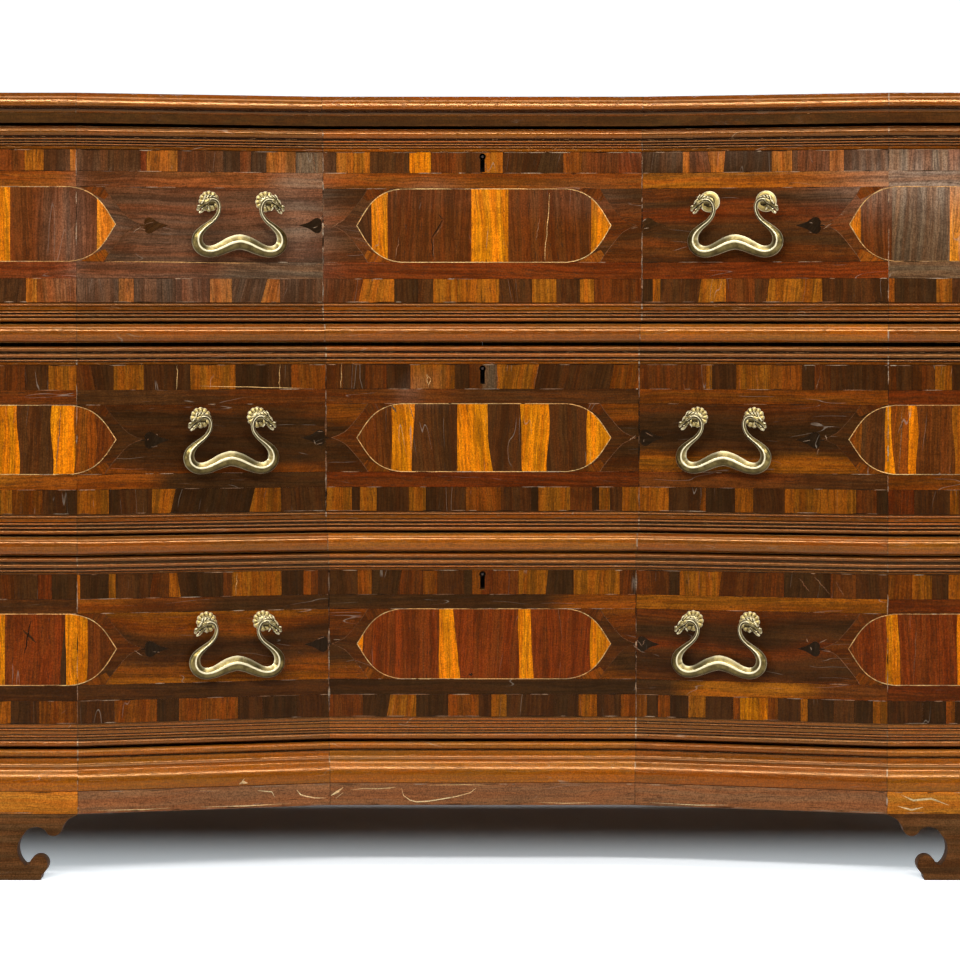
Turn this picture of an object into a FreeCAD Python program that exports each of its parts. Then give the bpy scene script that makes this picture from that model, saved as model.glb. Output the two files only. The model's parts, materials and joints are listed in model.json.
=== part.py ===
import FreeCAD, Part
import Sketcher
import math
import os
import re

# A baroque chest of three drawers, about 1.38 m wide, 0.65 m deep and 0.82 m high.
# Its upright front is broken in plan: a flat centre set back, a canted plane on each side that comes
# forward to a projecting flat block, and a canted corner that runs back to the side.
# X is the width, -Y the front, +Z up. The origin is on the floor, under the middle of the whole chest.
# Lengths are in millimetres. The tiers are named upper, middle and lower.

TIERS = ["lower", "middle", "upper"]

PLAN_SIZES = {
    "overall_depth": (650, "front of the top's nosing to the top's rear edge"),
    "side_half_width": (674, "middle of the chest to the outer face of a side"),
    "corner_run": (75, "outer end of a projecting block to the outer face of a side"),
    "outer_fold": (425, "middle of the chest to the fold between canted plane and block"),
    "fold_top": (172, "middle to the inner fold, at the top and frieze"),
    "fold_upper": (170, "middle to the inner fold, on the upper drawer"),
    "fold_middle": (167, "middle to the inner fold, on the middle drawer"),
    "fold_lower": (164, "middle to the inner fold, on the lower drawer and base"),
    "recess": (68, "setback of the flat centre behind the blocks"),
    "corner_setback": (40, "setback of the side's front edge behind the blocks"),
    "top_overhang": (14, "nosing of the top in front of the drawer faces"),
    "back_overhang": (8, "top's rear edge behind the carcass"),
}

HEIGHT_SIZES = {
    "foot_height": (69.5, "floor to plinth"),
    "plinth_height": (23.5, "flat fascia above the feet"),
    "base_moulding_height": (43.3, "moulding above the fascia"),
    "drawer_height_lower": (199.2, "front of the lower drawer"),
    "drawer_height_middle": (197.3, "front of the middle drawer"),
    "drawer_height_upper": (204.8, "front of the upper drawer"),
    "gap_under_drawer": (2.4, "shadow gap under each drawer front"),
    "gap_over_lower": (2.0, "shadow gap over the lower drawer front"),
    "gap_over_middle": (4.0, "shadow gap over the middle drawer front"),
    "gap_over_upper": (3.4, "shadow gap over the upper drawer front"),
    "divider_thickness": (19.4, "dust board between two drawers"),
    "frieze_height": (10.5, "rail under the top"),
    "top_thickness": (20.5, "top board and its edging"),
}

BOARD_SIZES = {
    "side_thickness": (24, "carcass side"),
    "back_thickness": (12, "back planks, let into a rebate in each side"),
    "back_plank_count": (6, "planks that make up the back"),
    "bottom_thickness": (20, "bottom board of the carcass"),
    "rail_depth": (60, "frieze rail and base rail, front to back"),
    "plinth_thickness": (24, "boards of the plinth frame and of the bracket feet"),
    "edging_width": (40, "edging strip round the top, nose to inner edge"),
    "stop_length": (18, "drawer stop, front to back"),
    "stop_width": (40, "drawer stop, across"),
    "stop_height": (14, "drawer stop, up from its board"),
    "stop_half_spacing": (420, "middle of the chest to the middle of a drawer stop"),
}

MOULDING_SIZES = {
    "nose_height": (15.5, "rounded nosing of the top, above its hollow"),
    "nose_upper_radius": (4, "upper arris of the nosing"),
    "nose_lower_round": (6, "rounded lower arris of the nosing, up and down"),
    "nose_lower_bow": (2, "fullness of that arris in front of the line from end to end"),
    "hollow_depth": (8, "setback of the hollow's upper edge behind the nosing"),
    "hollow_foot": (1, "lower edge of the hollow in front of the drawer faces"),
    "hollow_bow": (1.2, "depth of the hollow behind the line from its foot to its head"),
    "frieze_projection": (1.5, "frieze rail in front of the drawer faces"),
    "divider_bead_projection": (6.5, "half-round bead in front of the drawer faces"),
    "base_bead_height": (8, "bead at the head of the base moulding"),
    "base_bead_projection": (4, "that bead in front of the drawer faces"),
    "bead_quirk": (0.8, "quirk under and over that bead, in front of the drawer faces"),
    "base_roll_height": (22, "big roll at the foot of the base moulding"),
    "roll_top_projection": (7.5, "head of the roll in front of the drawer faces"),
    "roll_bow": (3.2, "fullness of the roll in front of the line from its foot to its head"),
    "base_hollow_bow": (1.2, "depth of the hollow behind the line from the roll to the bead"),
    "plinth_projection": (12, "plinth and roll in front of the drawer faces"),
}

REED_SIZES = {
    "reed_strip_top_upper": (24.3, "reeded strip at the head of the upper drawer"),
    "reed_strip_top_middle": (19.5, "reeded strip at the head of the middle drawer"),
    "reed_strip_top_lower": (18.0, "reeded strip at the head of the lower drawer"),
    "reed_strip_foot_upper": (20.4, "reeded strip at the foot of the upper drawer"),
    "reed_strip_foot_middle": (21.2, "reeded strip at the foot of the middle drawer"),
    "reed_strip_foot_lower": (24.2, "reeded strip at the foot of the lower drawer"),
    "edge_bead_height": (6.5, "large bead along the drawer's edge"),
    "reed_height": (3.2, "one fine reed"),
    "reed_quirk": (1.0, "flat quirk between the large bead and the fine reeds"),
    "reed_count": (3, "fine reeds in a strip"),
    "reed_bed": (0.2, "flat between the reeds in front of the drawer face"),
    "reed_projection": (1.4, "crown of a fine reed in front of the drawer face"),
    "edge_bead_projection": (2.4, "crown of the large bead in front of the drawer face"),
}

DRAWER_SIZES = {
    "core_thickness": (24, "solid wood of a drawer front"),
    "veneer_thickness": (1.5, "marquetry on a drawer front"),
    "drawer_end_gap": (1.5, "clearance between a drawer and the carcass side"),
    "drawer_side_thickness": (12, "drawer side"),
    "drawer_back_thickness": (12, "drawer back"),
    "drawer_bottom_thickness": (8, "drawer bottom"),
    "bottom_rise": (8, "lower edge of a drawer side to the underside of the drawer bottom"),
    "running_gap": (0.3, "clearance between a drawer side and the board that it runs on"),
    "side_drop": (10, "top of a drawer side below the top of its front"),
    "back_drop": (16, "top of a drawer back below the top of its front"),
}

LOCK_SIZES = {
    "lock_half_width": (35, "middle to the edge of a lock case"),
    "lock_height": (55, "lock case, down from the top edge of the drawer front"),
    "lock_thickness": (11, "lock case, front to back"),
    "bolt_half_width": (15, "middle to the edge of a lock bolt"),
    "bolt_thickness": (5, "lock bolt, front to back"),
    "bolt_height": (26, "lock bolt, up and down"),
    "bolt_recess": (0.5, "top of a withdrawn bolt below the top of its case"),
    "bolt_clearance": (0.4, "lock bolt to the walls of its channel"),
    "bolt_travel": (9, "rise of the bolt as the key turns"),
    "mortise_clearance": (1.5, "raised bolt to the walls and end of its mortise"),
    "key_pin_radius": (1.3, "pin in the lock that a drilled key fits over"),
    "keyhole_radius": (3.4, "round head of a keyhole"),
    "keyhole_slot_width": (4.6, "slot below the round head"),
    "keyhole_length": (20, "keyhole, top to bottom"),
    "keyhole_drop": (1.2, "top of a keyhole below the reeded strip"),
}

HANDLE_SIZES = {
    "handle_left_upper": (259.6, "middle of the chest to the left handle, upper drawer"),
    "handle_right_upper": (270.0, "middle of the chest to the right handle, upper drawer"),
    "handle_left_middle": (268.6, "middle of the chest to the left handle, middle drawer"),
    "handle_right_middle": (258.0, "middle of the chest to the right handle, middle drawer"),
    "handle_left_lower": (262.8, "middle of the chest to the left handle, lower drawer"),
    "handle_right_lower": (253.7, "middle of the chest to the right handle, lower drawer"),
    "handle_rise_upper": (127.2, "foot of the drawer front to the bail's pivot, upper drawer"),
    "handle_rise_middle": (121.8, "foot of the drawer front to the bail's pivot, middle drawer"),
    "handle_rise_lower": (128.3, "foot of the drawer front to the bail's pivot, lower drawer"),
    "post_half_spacing": (30.4, "middle of a handle to a post"),
    "post_standoff": (14, "pivot of the bail in front of the drawer face"),
    "shank_radius": (2.5, "threaded shank of a post"),
    "shank_clearance": (0.3, "shank to the wall of its hole"),
    "eye_radius": (4.8, "eye of a post"),
    "eye_half_width": (3.0, "middle of an eye to its flat side"),
    "rosette_radius": (11.2, "rosette behind a post"),
    "rosette_thickness": (2.5, "rosette behind a post"),
    "nut_radius": (5.5, "square nut, middle to corner"),
    "nut_thickness": (4, "square nut"),
    "shank_end": (2, "end of a shank behind its nut"),
    "pin_radius": (2.0, "pin of a bail, which turns in the eye"),
    "pin_clearance": (0.08, "pin to the bore of the eye"),
    "pin_shoulder": (0.4, "gap between an eye and the curl of the bail"),
    "curl_radius": (5, "curl of the bail's neck under the pin"),
    "neck_radius": (2.4, "bar at the neck of the bail"),
    "loop_offset": (2.3, "post to the centre of a side loop, outwards"),
    "loop_drop": (40.5, "pivot down to the centre of a side loop"),
    "loop_radius": (12.8, "side loop of the bail, on the bar's centreline"),
    "loop_start_angle": (-118, "degrees round the side loop where it leaves the hump"),
    "loop_end_angle": (48, "degrees round the side loop where it turns into the neck"),
    "curl_start_angle": (200, "degrees round the curl where the neck meets it"),
    "curl_end_angle": (125, "degrees round the curl just before the pin"),
    "loop_half_height": (5.9, "bar in the side loop, up and down"),
    "hump_drop": (43, "pivot down to the middle of the bail's hump"),
    "hump_half_height": (7.9, "bar at the hump, up and down"),
    "bar_half_depth": (4.0, "bar at the hump, front to back"),
    "head_radius": (3.1, "small beast's head that ends each neck"),
    "snout_radius": (1.4, "tip of that head"),
}

FOOT_SIZES = {
    "side_bracket_length": (150, "corner to the end of a bracket along the side"),
    "back_bracket_length": (110, "outer face of a back foot to the end of its return"),
    "bracket_tip": (1.5, "height of a bracket at its thin end"),
    "slope_across": (15.7, "thin end to the foot of the slope"),
    "slope_drop": (17.2, "plinth down to the foot of the slope"),
    "slope_bow": (4.2, "hollow of that slope, measured across"),
    "lobe_across": (33, "thin end to the far end of the hanging lobe"),
    "lobe_drop": (23, "plinth down to the lowest point of the lobe"),
    "arch_across": (55.5, "thin end to the far end of the arch"),
    "arch_crown_drop": (13.6, "plinth down to the crown of the arch"),
    "arch_end_drop": (21.6, "plinth down to the far end of the arch"),
    "neck_across": (62, "thin end to the waist of the foot"),
    "neck_rise": (32, "floor up to the waist of the foot"),
    "notch_across": (54.5, "thin end to the notch behind the scroll"),
    "notch_rise": (15.8, "floor up to the notch"),
    "scroll_across": (40, "thin end to the top of the scroll"),
    "scroll_rise": (25.6, "floor up to the top of the scroll"),
    "scroll_half_width": (9.7, "middle of the scroll to its tip"),
    "scroll_tip_rise": (16.5, "floor up to the tip of the scroll"),
    "toe_across": (38.4, "thin end to the toe on the floor"),
    "toe_rise": (6, "floor up to the top of the toe"),
    "toe_lean": (2, "slant of the toe"),
    "toe_bow": (1.7, "fullness of the edge above the toe, measured across"),
    "cutter_margin": (2, "reach of a cut past the board that it goes through"),
    "glue_block_width": (45, "block in the corner of a foot"),
    "glue_block_rise": (4, "floor up to the glue blocks"),
}

SIZE_GROUPS = [PLAN_SIZES, HEIGHT_SIZES, BOARD_SIZES, MOULDING_SIZES, REED_SIZES, DRAWER_SIZES,
               LOCK_SIZES, HANDLE_SIZES, FOOT_SIZES]

# Sizes that follow from the ones above.
WORKED_OUT = {
    "face_front": "-overall_depth / 2 + top_overhang",
    "carcass_back": "overall_depth / 2 - back_overhang",
    "back_inside": "carcass_back - back_thickness",
    "side_inside": "side_half_width - side_thickness",
    "block_half_width": "side_half_width - corner_run",
    "corner_slope": "corner_setback / corner_run",
    "corner_secant": "sqrt(1 + corner_slope * corner_slope)",
    "corner_mitre": "(corner_secant - 1) / corner_slope",
    "side_mitre": "corner_secant - corner_slope",
    "fold_divider_upper": "(fold_upper + fold_middle) / 2",
    "fold_divider_lower": "(fold_middle + fold_lower) / 2",
    "plinth_top": "foot_height + plinth_height",
    "base_top": "plinth_top + base_moulding_height",
    "foot_lower": "base_top + gap_under_drawer",
    "head_lower": "foot_lower + drawer_height_lower",
    "run_lower": "base_top",
    "divider_lower_bottom": "head_lower + gap_over_lower",
    "run_middle": "divider_lower_bottom + divider_thickness",
    "foot_middle": "run_middle + gap_under_drawer",
    "head_middle": "foot_middle + drawer_height_middle",
    "divider_upper_bottom": "head_middle + gap_over_middle",
    "run_upper": "divider_upper_bottom + divider_thickness",
    "foot_upper": "run_upper + gap_under_drawer",
    "head_upper": "foot_upper + drawer_height_upper",
    "frieze_bottom": "head_upper + gap_over_upper",
    "top_underside": "frieze_bottom + frieze_height",
    "drawer_half_width": "side_inside - drawer_end_gap",
    "drawer_inside": "drawer_half_width - drawer_side_thickness",
    "drawer_rear": "back_inside - stop_length - running_gap",
    "drawer_floor": "running_gap + bottom_rise",
    "front_thickness": "veneer_thickness + core_thickness",
    "centre_face": "face_front + recess",
    "lock_front": "centre_face + front_thickness",
    "bolt_front": "lock_front + (lock_thickness - bolt_thickness) / 2",
    "loop_across": "post_half_spacing + loop_offset",
    "pin_start": "post_half_spacing - eye_half_width - pin_shoulder",
    "pin_end": "post_half_spacing + eye_half_width + pin_shoulder",
}

# The middle of a quarter round stands back from its corner by this share of its radius, each way.
QUARTER_ROUND = "( 1 - sqrt(0.5) )"
NUT_SIDES = 4
# A pocket that takes less than this, in cubic millimetres, has missed its board.
SMALLEST_CUT = 1
NAMES = {name for group in SIZE_GROUPS + [WORKED_OUT] for name in group}

doc = FreeCAD.newDocument("BaroqueCommode")
sizes = doc.addObject("Spreadsheet::Sheet", "Sizes")


def fill_sheet():
    """Writes one row per size: its name, its value and what it measures."""
    row = 1
    for group in SIZE_GROUPS:
        for name, (value, meaning) in group.items():
            sizes.set(f"A{row}", name)
            sizes.set(f"B{row}", str(value))
            sizes.set(f"C{row}", meaning)
            sizes.setAlias(f"B{row}", name)
            row += 1
    for name, formula in WORKED_OUT.items():
        sizes.set(f"A{row}", name)
        sizes.set(f"B{row}", "=" + formula)
        sizes.setAlias(f"B{row}", name)
        row += 1
    doc.recompute()


def size(name):
    return float(sizes.get(name))


def ref(formula):
    """Turns a formula on size names into one that an object of the document can be bound to."""
    return re.sub(r"[a-z]\w+", lambda word: "Sizes." + word[0] if word[0] in NAMES else word[0], formula)


def value_of(formula):
    return float(sizes.evalExpression(ref(formula)))


def negative(formula):
    return f"0 - ( {formula} )"


# ---------------------------------------------------------------- sketches and features

def origin_plane(body, role):
    for feature in body.Origin.OriginFeatures:
        if feature.Role == role:
            return feature
    raise ValueError("no plane " + role)


def sketch_on(body, name, role, out="0", across="0", up="0"):
    """A sketch on one of the body's own planes, moved out along that plane's normal, across and up."""
    sketch = body.newObject("Sketcher::SketchObject", name)
    sketch.AttachmentSupport = (origin_plane(body, role), [""])
    sketch.MapMode = "FlatFace"
    sketch.setExpression("AttachmentOffset.Base.z", ref(out))
    sketch.setExpression("AttachmentOffset.Base.x", ref(across))
    sketch.setExpression("AttachmentOffset.Base.y", ref(up))
    return sketch


def fix_along(sketch, geometry, point, kind, formula):
    """Fixes one coordinate of a point of the sketch, measured from the sketch's origin."""
    constraint = Sketcher.Constraint(kind, -1, 1, geometry, point, value_of(formula))
    index = sketch.addConstraint(constraint)
    sketch.setExpression(f"Constraints[{index}]", ref(formula))


def fix_point(sketch, geometry, point, across, up):
    fix_along(sketch, geometry, point, "DistanceX", across)
    fix_along(sketch, geometry, point, "DistanceY", up)


def arc_centre(start, crown, end, kind):
    """The formula of one coordinate of the centre of the arc through three points."""
    points = [start, crown, end]
    other = 1 if kind == "DistanceX" else 0
    squares = [f"( ({across}) * ({across}) + ({up}) * ({up}) )" for across, up in points]
    steps = []
    for number in range(3):
        after = points[(number + 1) % 3][other]
        before = points[(number + 2) % 3][other]
        steps.append(f"( ({after}) - ({before}) )")
    top = " + ".join(square + " * " + step for square, step in zip(squares, steps))
    bottom = " + ".join(f"({point[1 - other]}) * {step}" for point, step in zip(points, steps))
    return f"( {top} ) / ( 2 * ( {bottom} ) )"


def fix_arc(sketch, geometry, start, crown, end):
    """Fixes the bend of an arc whose two ends are fixed already, so that it passes through its crown."""
    width = abs(value_of(end[0]) - value_of(start[0]))
    height = abs(value_of(end[1]) - value_of(start[1]))
    kind = "DistanceX" if height > width else "DistanceY"
    fix_along(sketch, geometry, 3, kind, arc_centre(start, crown, end, kind))


def draw_outline(sketch, corners, closed=True):
    """Draws a run of lines and arcs. A corner is (across, up). With two more formulas, which give the
    crown of an arc, the corner is joined to the next one by that arc instead of a line."""
    places = [FreeCAD.Vector(value_of(corner[0]), value_of(corner[1]), 0) for corner in corners]
    spans = len(corners) if closed else len(corners) - 1
    ends = []
    for number in range(spans):
        corner = corners[number]
        start = places[number]
        end = places[(number + 1) % len(corners)]
        if len(corner) == 4:
            crown = FreeCAD.Vector(value_of(corner[2]), value_of(corner[3]), 0)
            # An arc of a sketch runs anticlockwise, so one that turns the other way starts at its end.
            turned = (end - start).cross(crown - start).z > 0
            first, last = (end, start) if turned else (start, end)
            index = sketch.addGeometry(Part.Arc(first, crown, last))
        else:
            index = sketch.addGeometry(Part.LineSegment(start, end))
            turned = False
        ends.append((index, 2, 1) if turned else (index, 1, 2))
    for number, (index, near, far) in enumerate(ends):
        fix_point(sketch, index, near, corners[number][0], corners[number][1])
    for (index, near, far), (after, after_near, after_far) in zip(ends, ends[1:]):
        sketch.addConstraint(Sketcher.Constraint("Coincident", index, far, after, after_near))
    first, first_near, first_far = ends[0]
    last, last_near, last_far = ends[-1]
    if closed:
        sketch.addConstraint(Sketcher.Constraint("Coincident", last, last_far, first, first_near))
    else:
        fix_point(sketch, last, last_far, corners[-1][0], corners[-1][1])
    for number, (index, near, far) in enumerate(ends):
        corner = corners[number]
        if len(corner) == 4:
            end = corners[(number + 1) % len(corners)]
            fix_arc(sketch, index, corner[:2], corner[2:], end[:2])


def bowed(start, end, bow):
    """A corner that an arc joins to the next one. The middle of the arc stands off its chord by bow,
    measured across."""
    middle_across = f"( {start[0]} + {end[0]} ) / 2 + ( {bow} )"
    middle_up = f"( {start[1]} + {end[1]} ) / 2"
    return (start[0], start[1], middle_across, middle_up)


def new_body(name):
    return doc.addObject("PartDesign::Body", name)


def slab(name, corners, bottom, thickness, hole=None):
    """A board with any outline in plan, and with a hole of another outline where one is given."""
    body = new_body(name)
    sketch = sketch_on(body, name + "_plan", "XY_Plane", bottom)
    draw_outline(sketch, corners)
    if hole:
        draw_outline(sketch, hole)
    pad = body.newObject("PartDesign::Pad", name + "_pad")
    pad.Profile = sketch
    pad.setExpression("Length", ref(thickness))
    return body


def box(name, low, high):
    """A board with square edges, from its lowest to its highest corner."""
    board = doc.addObject("Part::Box", name)
    for side, axis, start, end in zip(("Length", "Width", "Height"), "xyz", low, high):
        board.setExpression(side, ref(f"( {end} ) - ( {start} )"))
        board.setExpression("Placement.Base." + axis, ref(start))
    return board


def cut_pocket(body, sketch, name, depth, along_normal=False):
    """Cuts a sketch into a body, against the sketch's normal or along it, and checks that it bites."""
    doc.recompute()
    before = body.Tip.Shape.Volume
    pocket = body.newObject("PartDesign::Pocket", name)
    pocket.Profile = sketch
    pocket.Reversed = along_normal
    pocket.setExpression("Length", ref(depth))
    doc.recompute()
    if body.Tip.Shape.Volume > before - SMALLEST_CUT:
        raise RuntimeError(name + " cuts nothing")


def boolean(kind, name, base, tool):
    result = doc.addObject("Part::" + kind, name)
    result.Base = base
    result.Tool = tool
    return result


def group_of(name, members):
    group = doc.addObject("Part::Compound", name)
    group.Links = members
    return group


# ---------------------------------------------------------------- the broken front, in plan

def front_corner(which, outset, fold):
    """One corner of the front's right half, on a line that stands off the drawer face by outset."""
    cant_run = f"( outer_fold - {fold} )"
    cant_mitre = f"( ( sqrt({cant_run} * {cant_run} + recess * recess ) - {cant_run} ) / recess )"
    if which == "inner":
        return (f"{fold} - ( {outset} ) * {cant_mitre}", f"centre_face - ( {outset} )")
    if which == "outer":
        return (f"outer_fold - ( {outset} ) * {cant_mitre}", f"face_front - ( {outset} )")
    if which == "block":
        return (f"block_half_width + ( {outset} ) * corner_mitre", f"face_front - ( {outset} )")
    return (f"side_half_width + ( {outset} )",
            f"face_front + corner_setback - ( {outset} ) * side_mitre")


def on_corner_plane(across, outset):
    """The point of the canted corner, at a distance across from the middle and outset off the face."""
    return (across, f"face_front + ( {across} - block_half_width ) * corner_slope"
                    f" - ( {outset} ) * corner_secant")


def mirrored(points):
    return [(negative(across), up) for across, up in reversed(points)]


def front_run(outset, fold, end):
    """The front from left to right. It ends at the side's outer face, or at a distance across."""
    if end == "side":
        last = front_corner("side", outset, fold)
    else:
        last = on_corner_plane(end, outset)
    half = [front_corner("inner", outset, fold), front_corner("outer", outset, fold),
            front_corner("block", outset, fold), last]
    return mirrored(half) + half


def shell(outer, inner, fold, end):
    """The closed outline of a board that follows the front, between two distances off the face."""
    return front_run(outer, fold, end) + list(reversed(front_run(inner, fold, end)))


def filled_front(outset, fold, end, rear):
    """The closed outline of a board that runs from the front to a straight rear edge."""
    half_width = front_run(outset, fold, end)[-1][0]
    return front_run(outset, fold, end) + [(half_width, rear), (negative(half_width), rear)]


def moulding(name, profile, seat, fold, rear):
    """A moulding swept round the right side, the front and the left side, mitred at each corner.
    The profile's corners are (outset, height above the seat), with an arc's crown where one follows."""
    body = new_body(name)
    path = sketch_on(body, name + "_path", "XY_Plane")
    run = front_run("0", fold, "side")
    path_corners = [("side_half_width", rear)] + list(reversed(run)) + [("0 - side_half_width", rear)]
    draw_outline(path, path_corners, closed=False)
    section = sketch_on(body, name + "_section", "XZ_Plane", negative(rear), "side_half_width", seat)
    draw_outline(section, profile)
    sweep = body.newObject("PartDesign::AdditivePipe", name + "_sweep")
    sweep.Profile = section
    sweep.Spine = (path, [f"Edge{number + 1}" for number in range(len(path_corners) - 1)])
    sweep.Transition = "Right corner"
    return body


def trimmed(name, body, half_width, bottom, top):
    """Cuts a swept moulding off flush at a distance to each side of the middle."""
    low = (negative(half_width), "face_front - overall_depth", bottom)
    high = (half_width, "carcass_back", top)
    return boolean("Common", name, body, box(name + "_trim", low, high))


# ---------------------------------------------------------------- carcass

def make_top():
    """The top board, and the nosed edging with its hollow that runs round three sides of it."""
    inner = "top_overhang - edging_width"
    board = filled_front(inner, "fold_top", "side", "overall_depth / 2")
    slab("top_board", board, "top_underside", "top_thickness")
    hollow_foot = ("hollow_foot", "0")
    hollow_head = ("top_overhang - hollow_depth", "top_thickness - nose_height")
    nose_front = ("top_overhang", "top_thickness - nose_height + nose_lower_round")
    profile = [
        (inner, "0"),
        bowed(hollow_foot, hollow_head, "0 - hollow_bow"),
        bowed(hollow_head, nose_front, "nose_lower_bow"),
        nose_front,
        ("top_overhang", "top_thickness - nose_upper_radius",
         f"top_overhang - nose_upper_radius * {QUARTER_ROUND}",
         f"top_thickness - nose_upper_radius * {QUARTER_ROUND}"),
        ("top_overhang - nose_upper_radius", "top_thickness"),
        (inner, "top_thickness"),
    ]
    moulding("top_edge_moulding", profile, "top_underside", "fold_top", "overall_depth / 2")


def cut_mortise(body, tier, bottom, thickness):
    """The mortise in the underside of a board, into which the bolt of the drawer below rises."""
    room = "mortise_clearance"
    reach = f"head_{tier} - bolt_recess + bolt_travel + {room}"
    sketch = sketch_on(body, body.Name + "_mortise_plan", "XY_Plane", bottom)
    half = f"bolt_half_width + {room}"
    front = f"bolt_front - {room}"
    rear = f"bolt_front + bolt_thickness + {room}"
    draw_outline(sketch, [(negative(half), front), (half, front), (half, rear), (negative(half), rear)])
    depth = f"min({reach} - ( {bottom} ) ; {thickness} )"
    cut_pocket(body, sketch, body.Name + "_mortise", depth, along_normal=True)


def make_frieze():
    outline = shell("frieze_projection", "0 - rail_depth", "fold_top", "side_inside")
    body = slab("frieze_rail", outline, "frieze_bottom", "frieze_height")
    cut_mortise(body, "upper", "frieze_bottom", "frieze_height")


def make_dividers():
    """The two full-depth dust boards, and the half-round bead on the front edge of each."""
    for name, tier in (("upper", "middle"), ("lower", "lower")):
        fold = "fold_divider_" + name
        bottom = f"divider_{name}_bottom"
        board = filled_front("0", fold, "side_inside", "back_inside")
        body = slab("divider_" + name, board, bottom, "divider_thickness")
        cut_mortise(body, tier, bottom, "divider_thickness")
        bead_foot = ("0", "0")
        bead_head = ("0", "divider_thickness")
        profile = [bowed(bead_foot, bead_head, "divider_bead_projection"), bead_head]
        bead = moulding(f"divider_bead_{name}_run", profile, bottom, fold, "centre_face")
        top = f"{bottom} + divider_thickness"
        trimmed("divider_bead_" + name, bead, "side_half_width", bottom, top)


def make_sides():
    """Each side stands on the plinth, up to the top, with a rebate at the rear for the back."""
    inner_front = on_corner_plane("side_inside", "0")
    outer_front = front_corner("side", "0", "fold_top")
    half = [
        inner_front,
        outer_front,
        ("side_half_width", "carcass_back"),
        ("side_half_width - side_thickness / 2", "carcass_back"),
        ("side_half_width - side_thickness / 2", "back_inside"),
        ("side_inside", "back_inside"),
    ]
    height = "top_underside - plinth_top"
    slab("side_right", half, "plinth_top", height)
    slab("side_left", mirrored(half), "plinth_top", height)


def make_back():
    """Upright planks side by side, between the rebates of the sides."""
    count = int(size("back_plank_count"))
    half = "( side_half_width - side_thickness / 2 )"
    planks = []
    for number in range(count):
        left = f"{half} * ( 2 * {number} / {count} - 1 )"
        right = f"{half} * ( 2 * {number + 1} / {count} - 1 )"
        low = (left, "back_inside", "plinth_top")
        planks.append(box(f"back_plank_{number + 1}", low, (right, "carcass_back", "top_underside")))
    group_of("back_boards", planks)


def make_base():
    """Bottom board, the rail under its front edge, the base moulding and the plinth frame."""
    board = filled_front("0", "fold_lower", "side_inside", "back_inside")
    slab("bottom_board", board, "base_top - bottom_thickness", "bottom_thickness")
    rail = shell("0", "0 - rail_depth", "fold_lower", "side_inside")
    slab("base_rail", rail, "plinth_top", "base_moulding_height - bottom_thickness")

    roll_foot = ("plinth_projection", "0")
    roll_head = ("roll_top_projection", "base_roll_height")
    bead_foot = ("bead_quirk", "base_moulding_height - base_bead_height")
    profile = [
        ("0", "0"),
        bowed(roll_foot, roll_head, "roll_bow"),
        bowed(roll_head, bead_foot, "0 - base_hollow_bow"),
        bead_foot + ("base_bead_projection", "base_moulding_height - base_bead_height / 2"),
        ("bead_quirk", "base_moulding_height"),
        ("0", "base_moulding_height"),
    ]
    moulding("base_moulding", profile, "plinth_top", "fold_lower", "carcass_back")

    outer = "plinth_projection"
    inner = "plinth_projection - plinth_thickness"
    frame = filled_front(outer, "fold_lower", "side", "carcass_back")
    opening = filled_front(inner, "fold_lower", "side", "carcass_back - plinth_thickness")
    slab("base_plinth", frame, "foot_height", "plinth_height", opening)


def foot_scallop(toward):
    """The outline cut out under a bracket, from the foot of its thin end towards the foot itself.
    toward is 1 where distances across grow towards the foot, and -1 where they shrink."""
    def at(across):
        return across if toward > 0 else negative(across)

    def below(drop):
        return f"foot_height - {drop}"

    tip = (at("0"), below("bracket_tip"))
    slope_end = (at("slope_across"), below("slope_drop"))
    scroll_front = (at("scroll_across - scroll_half_width"), "scroll_tip_rise")
    toe_top = (at("toe_across - toe_lean"), "toe_rise")
    return [
        bowed(tip, slope_end, at("slope_bow")),
        slope_end + (at("( slope_across + lobe_across ) / 2"), below("lobe_drop")),
        (at("lobe_across"), below("slope_drop"),
         at("( lobe_across + arch_across ) / 2"), below("arch_crown_drop")),
        (at("arch_across"), below("arch_end_drop"), at("neck_across"), "neck_rise"),
        (at("notch_across"), "notch_rise"),
        (at("scroll_across + scroll_half_width"), "scroll_tip_rise", at("scroll_across"), "scroll_rise"),
        bowed(scroll_front, toe_top, at("0 - toe_bow")),
        toe_top,
        (at("toe_across"), "0 - cutter_margin"),
        (at("0 - cutter_margin"), "0 - cutter_margin"),
        (at("0 - cutter_margin"), below("bracket_tip")),
    ]


def cut_scallop(body, name, role, out, end, toward):
    """Cuts the scallop through a bracket board, whose thin end is at end, inwards from out."""
    sketch = sketch_on(body, name + "_outline", role, out, end)
    draw_outline(sketch, foot_scallop(toward))
    cut_pocket(body, sketch, name, "plinth_thickness + 2 * cutter_margin")


def bracket_side(hand):
    """The far right face of the bracket board along one side, with room for the cutter."""
    if hand > 0:
        return "side_half_width + plinth_projection + cutter_margin"
    return negative("side_half_width + plinth_projection - plinth_thickness - cutter_margin")


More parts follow.
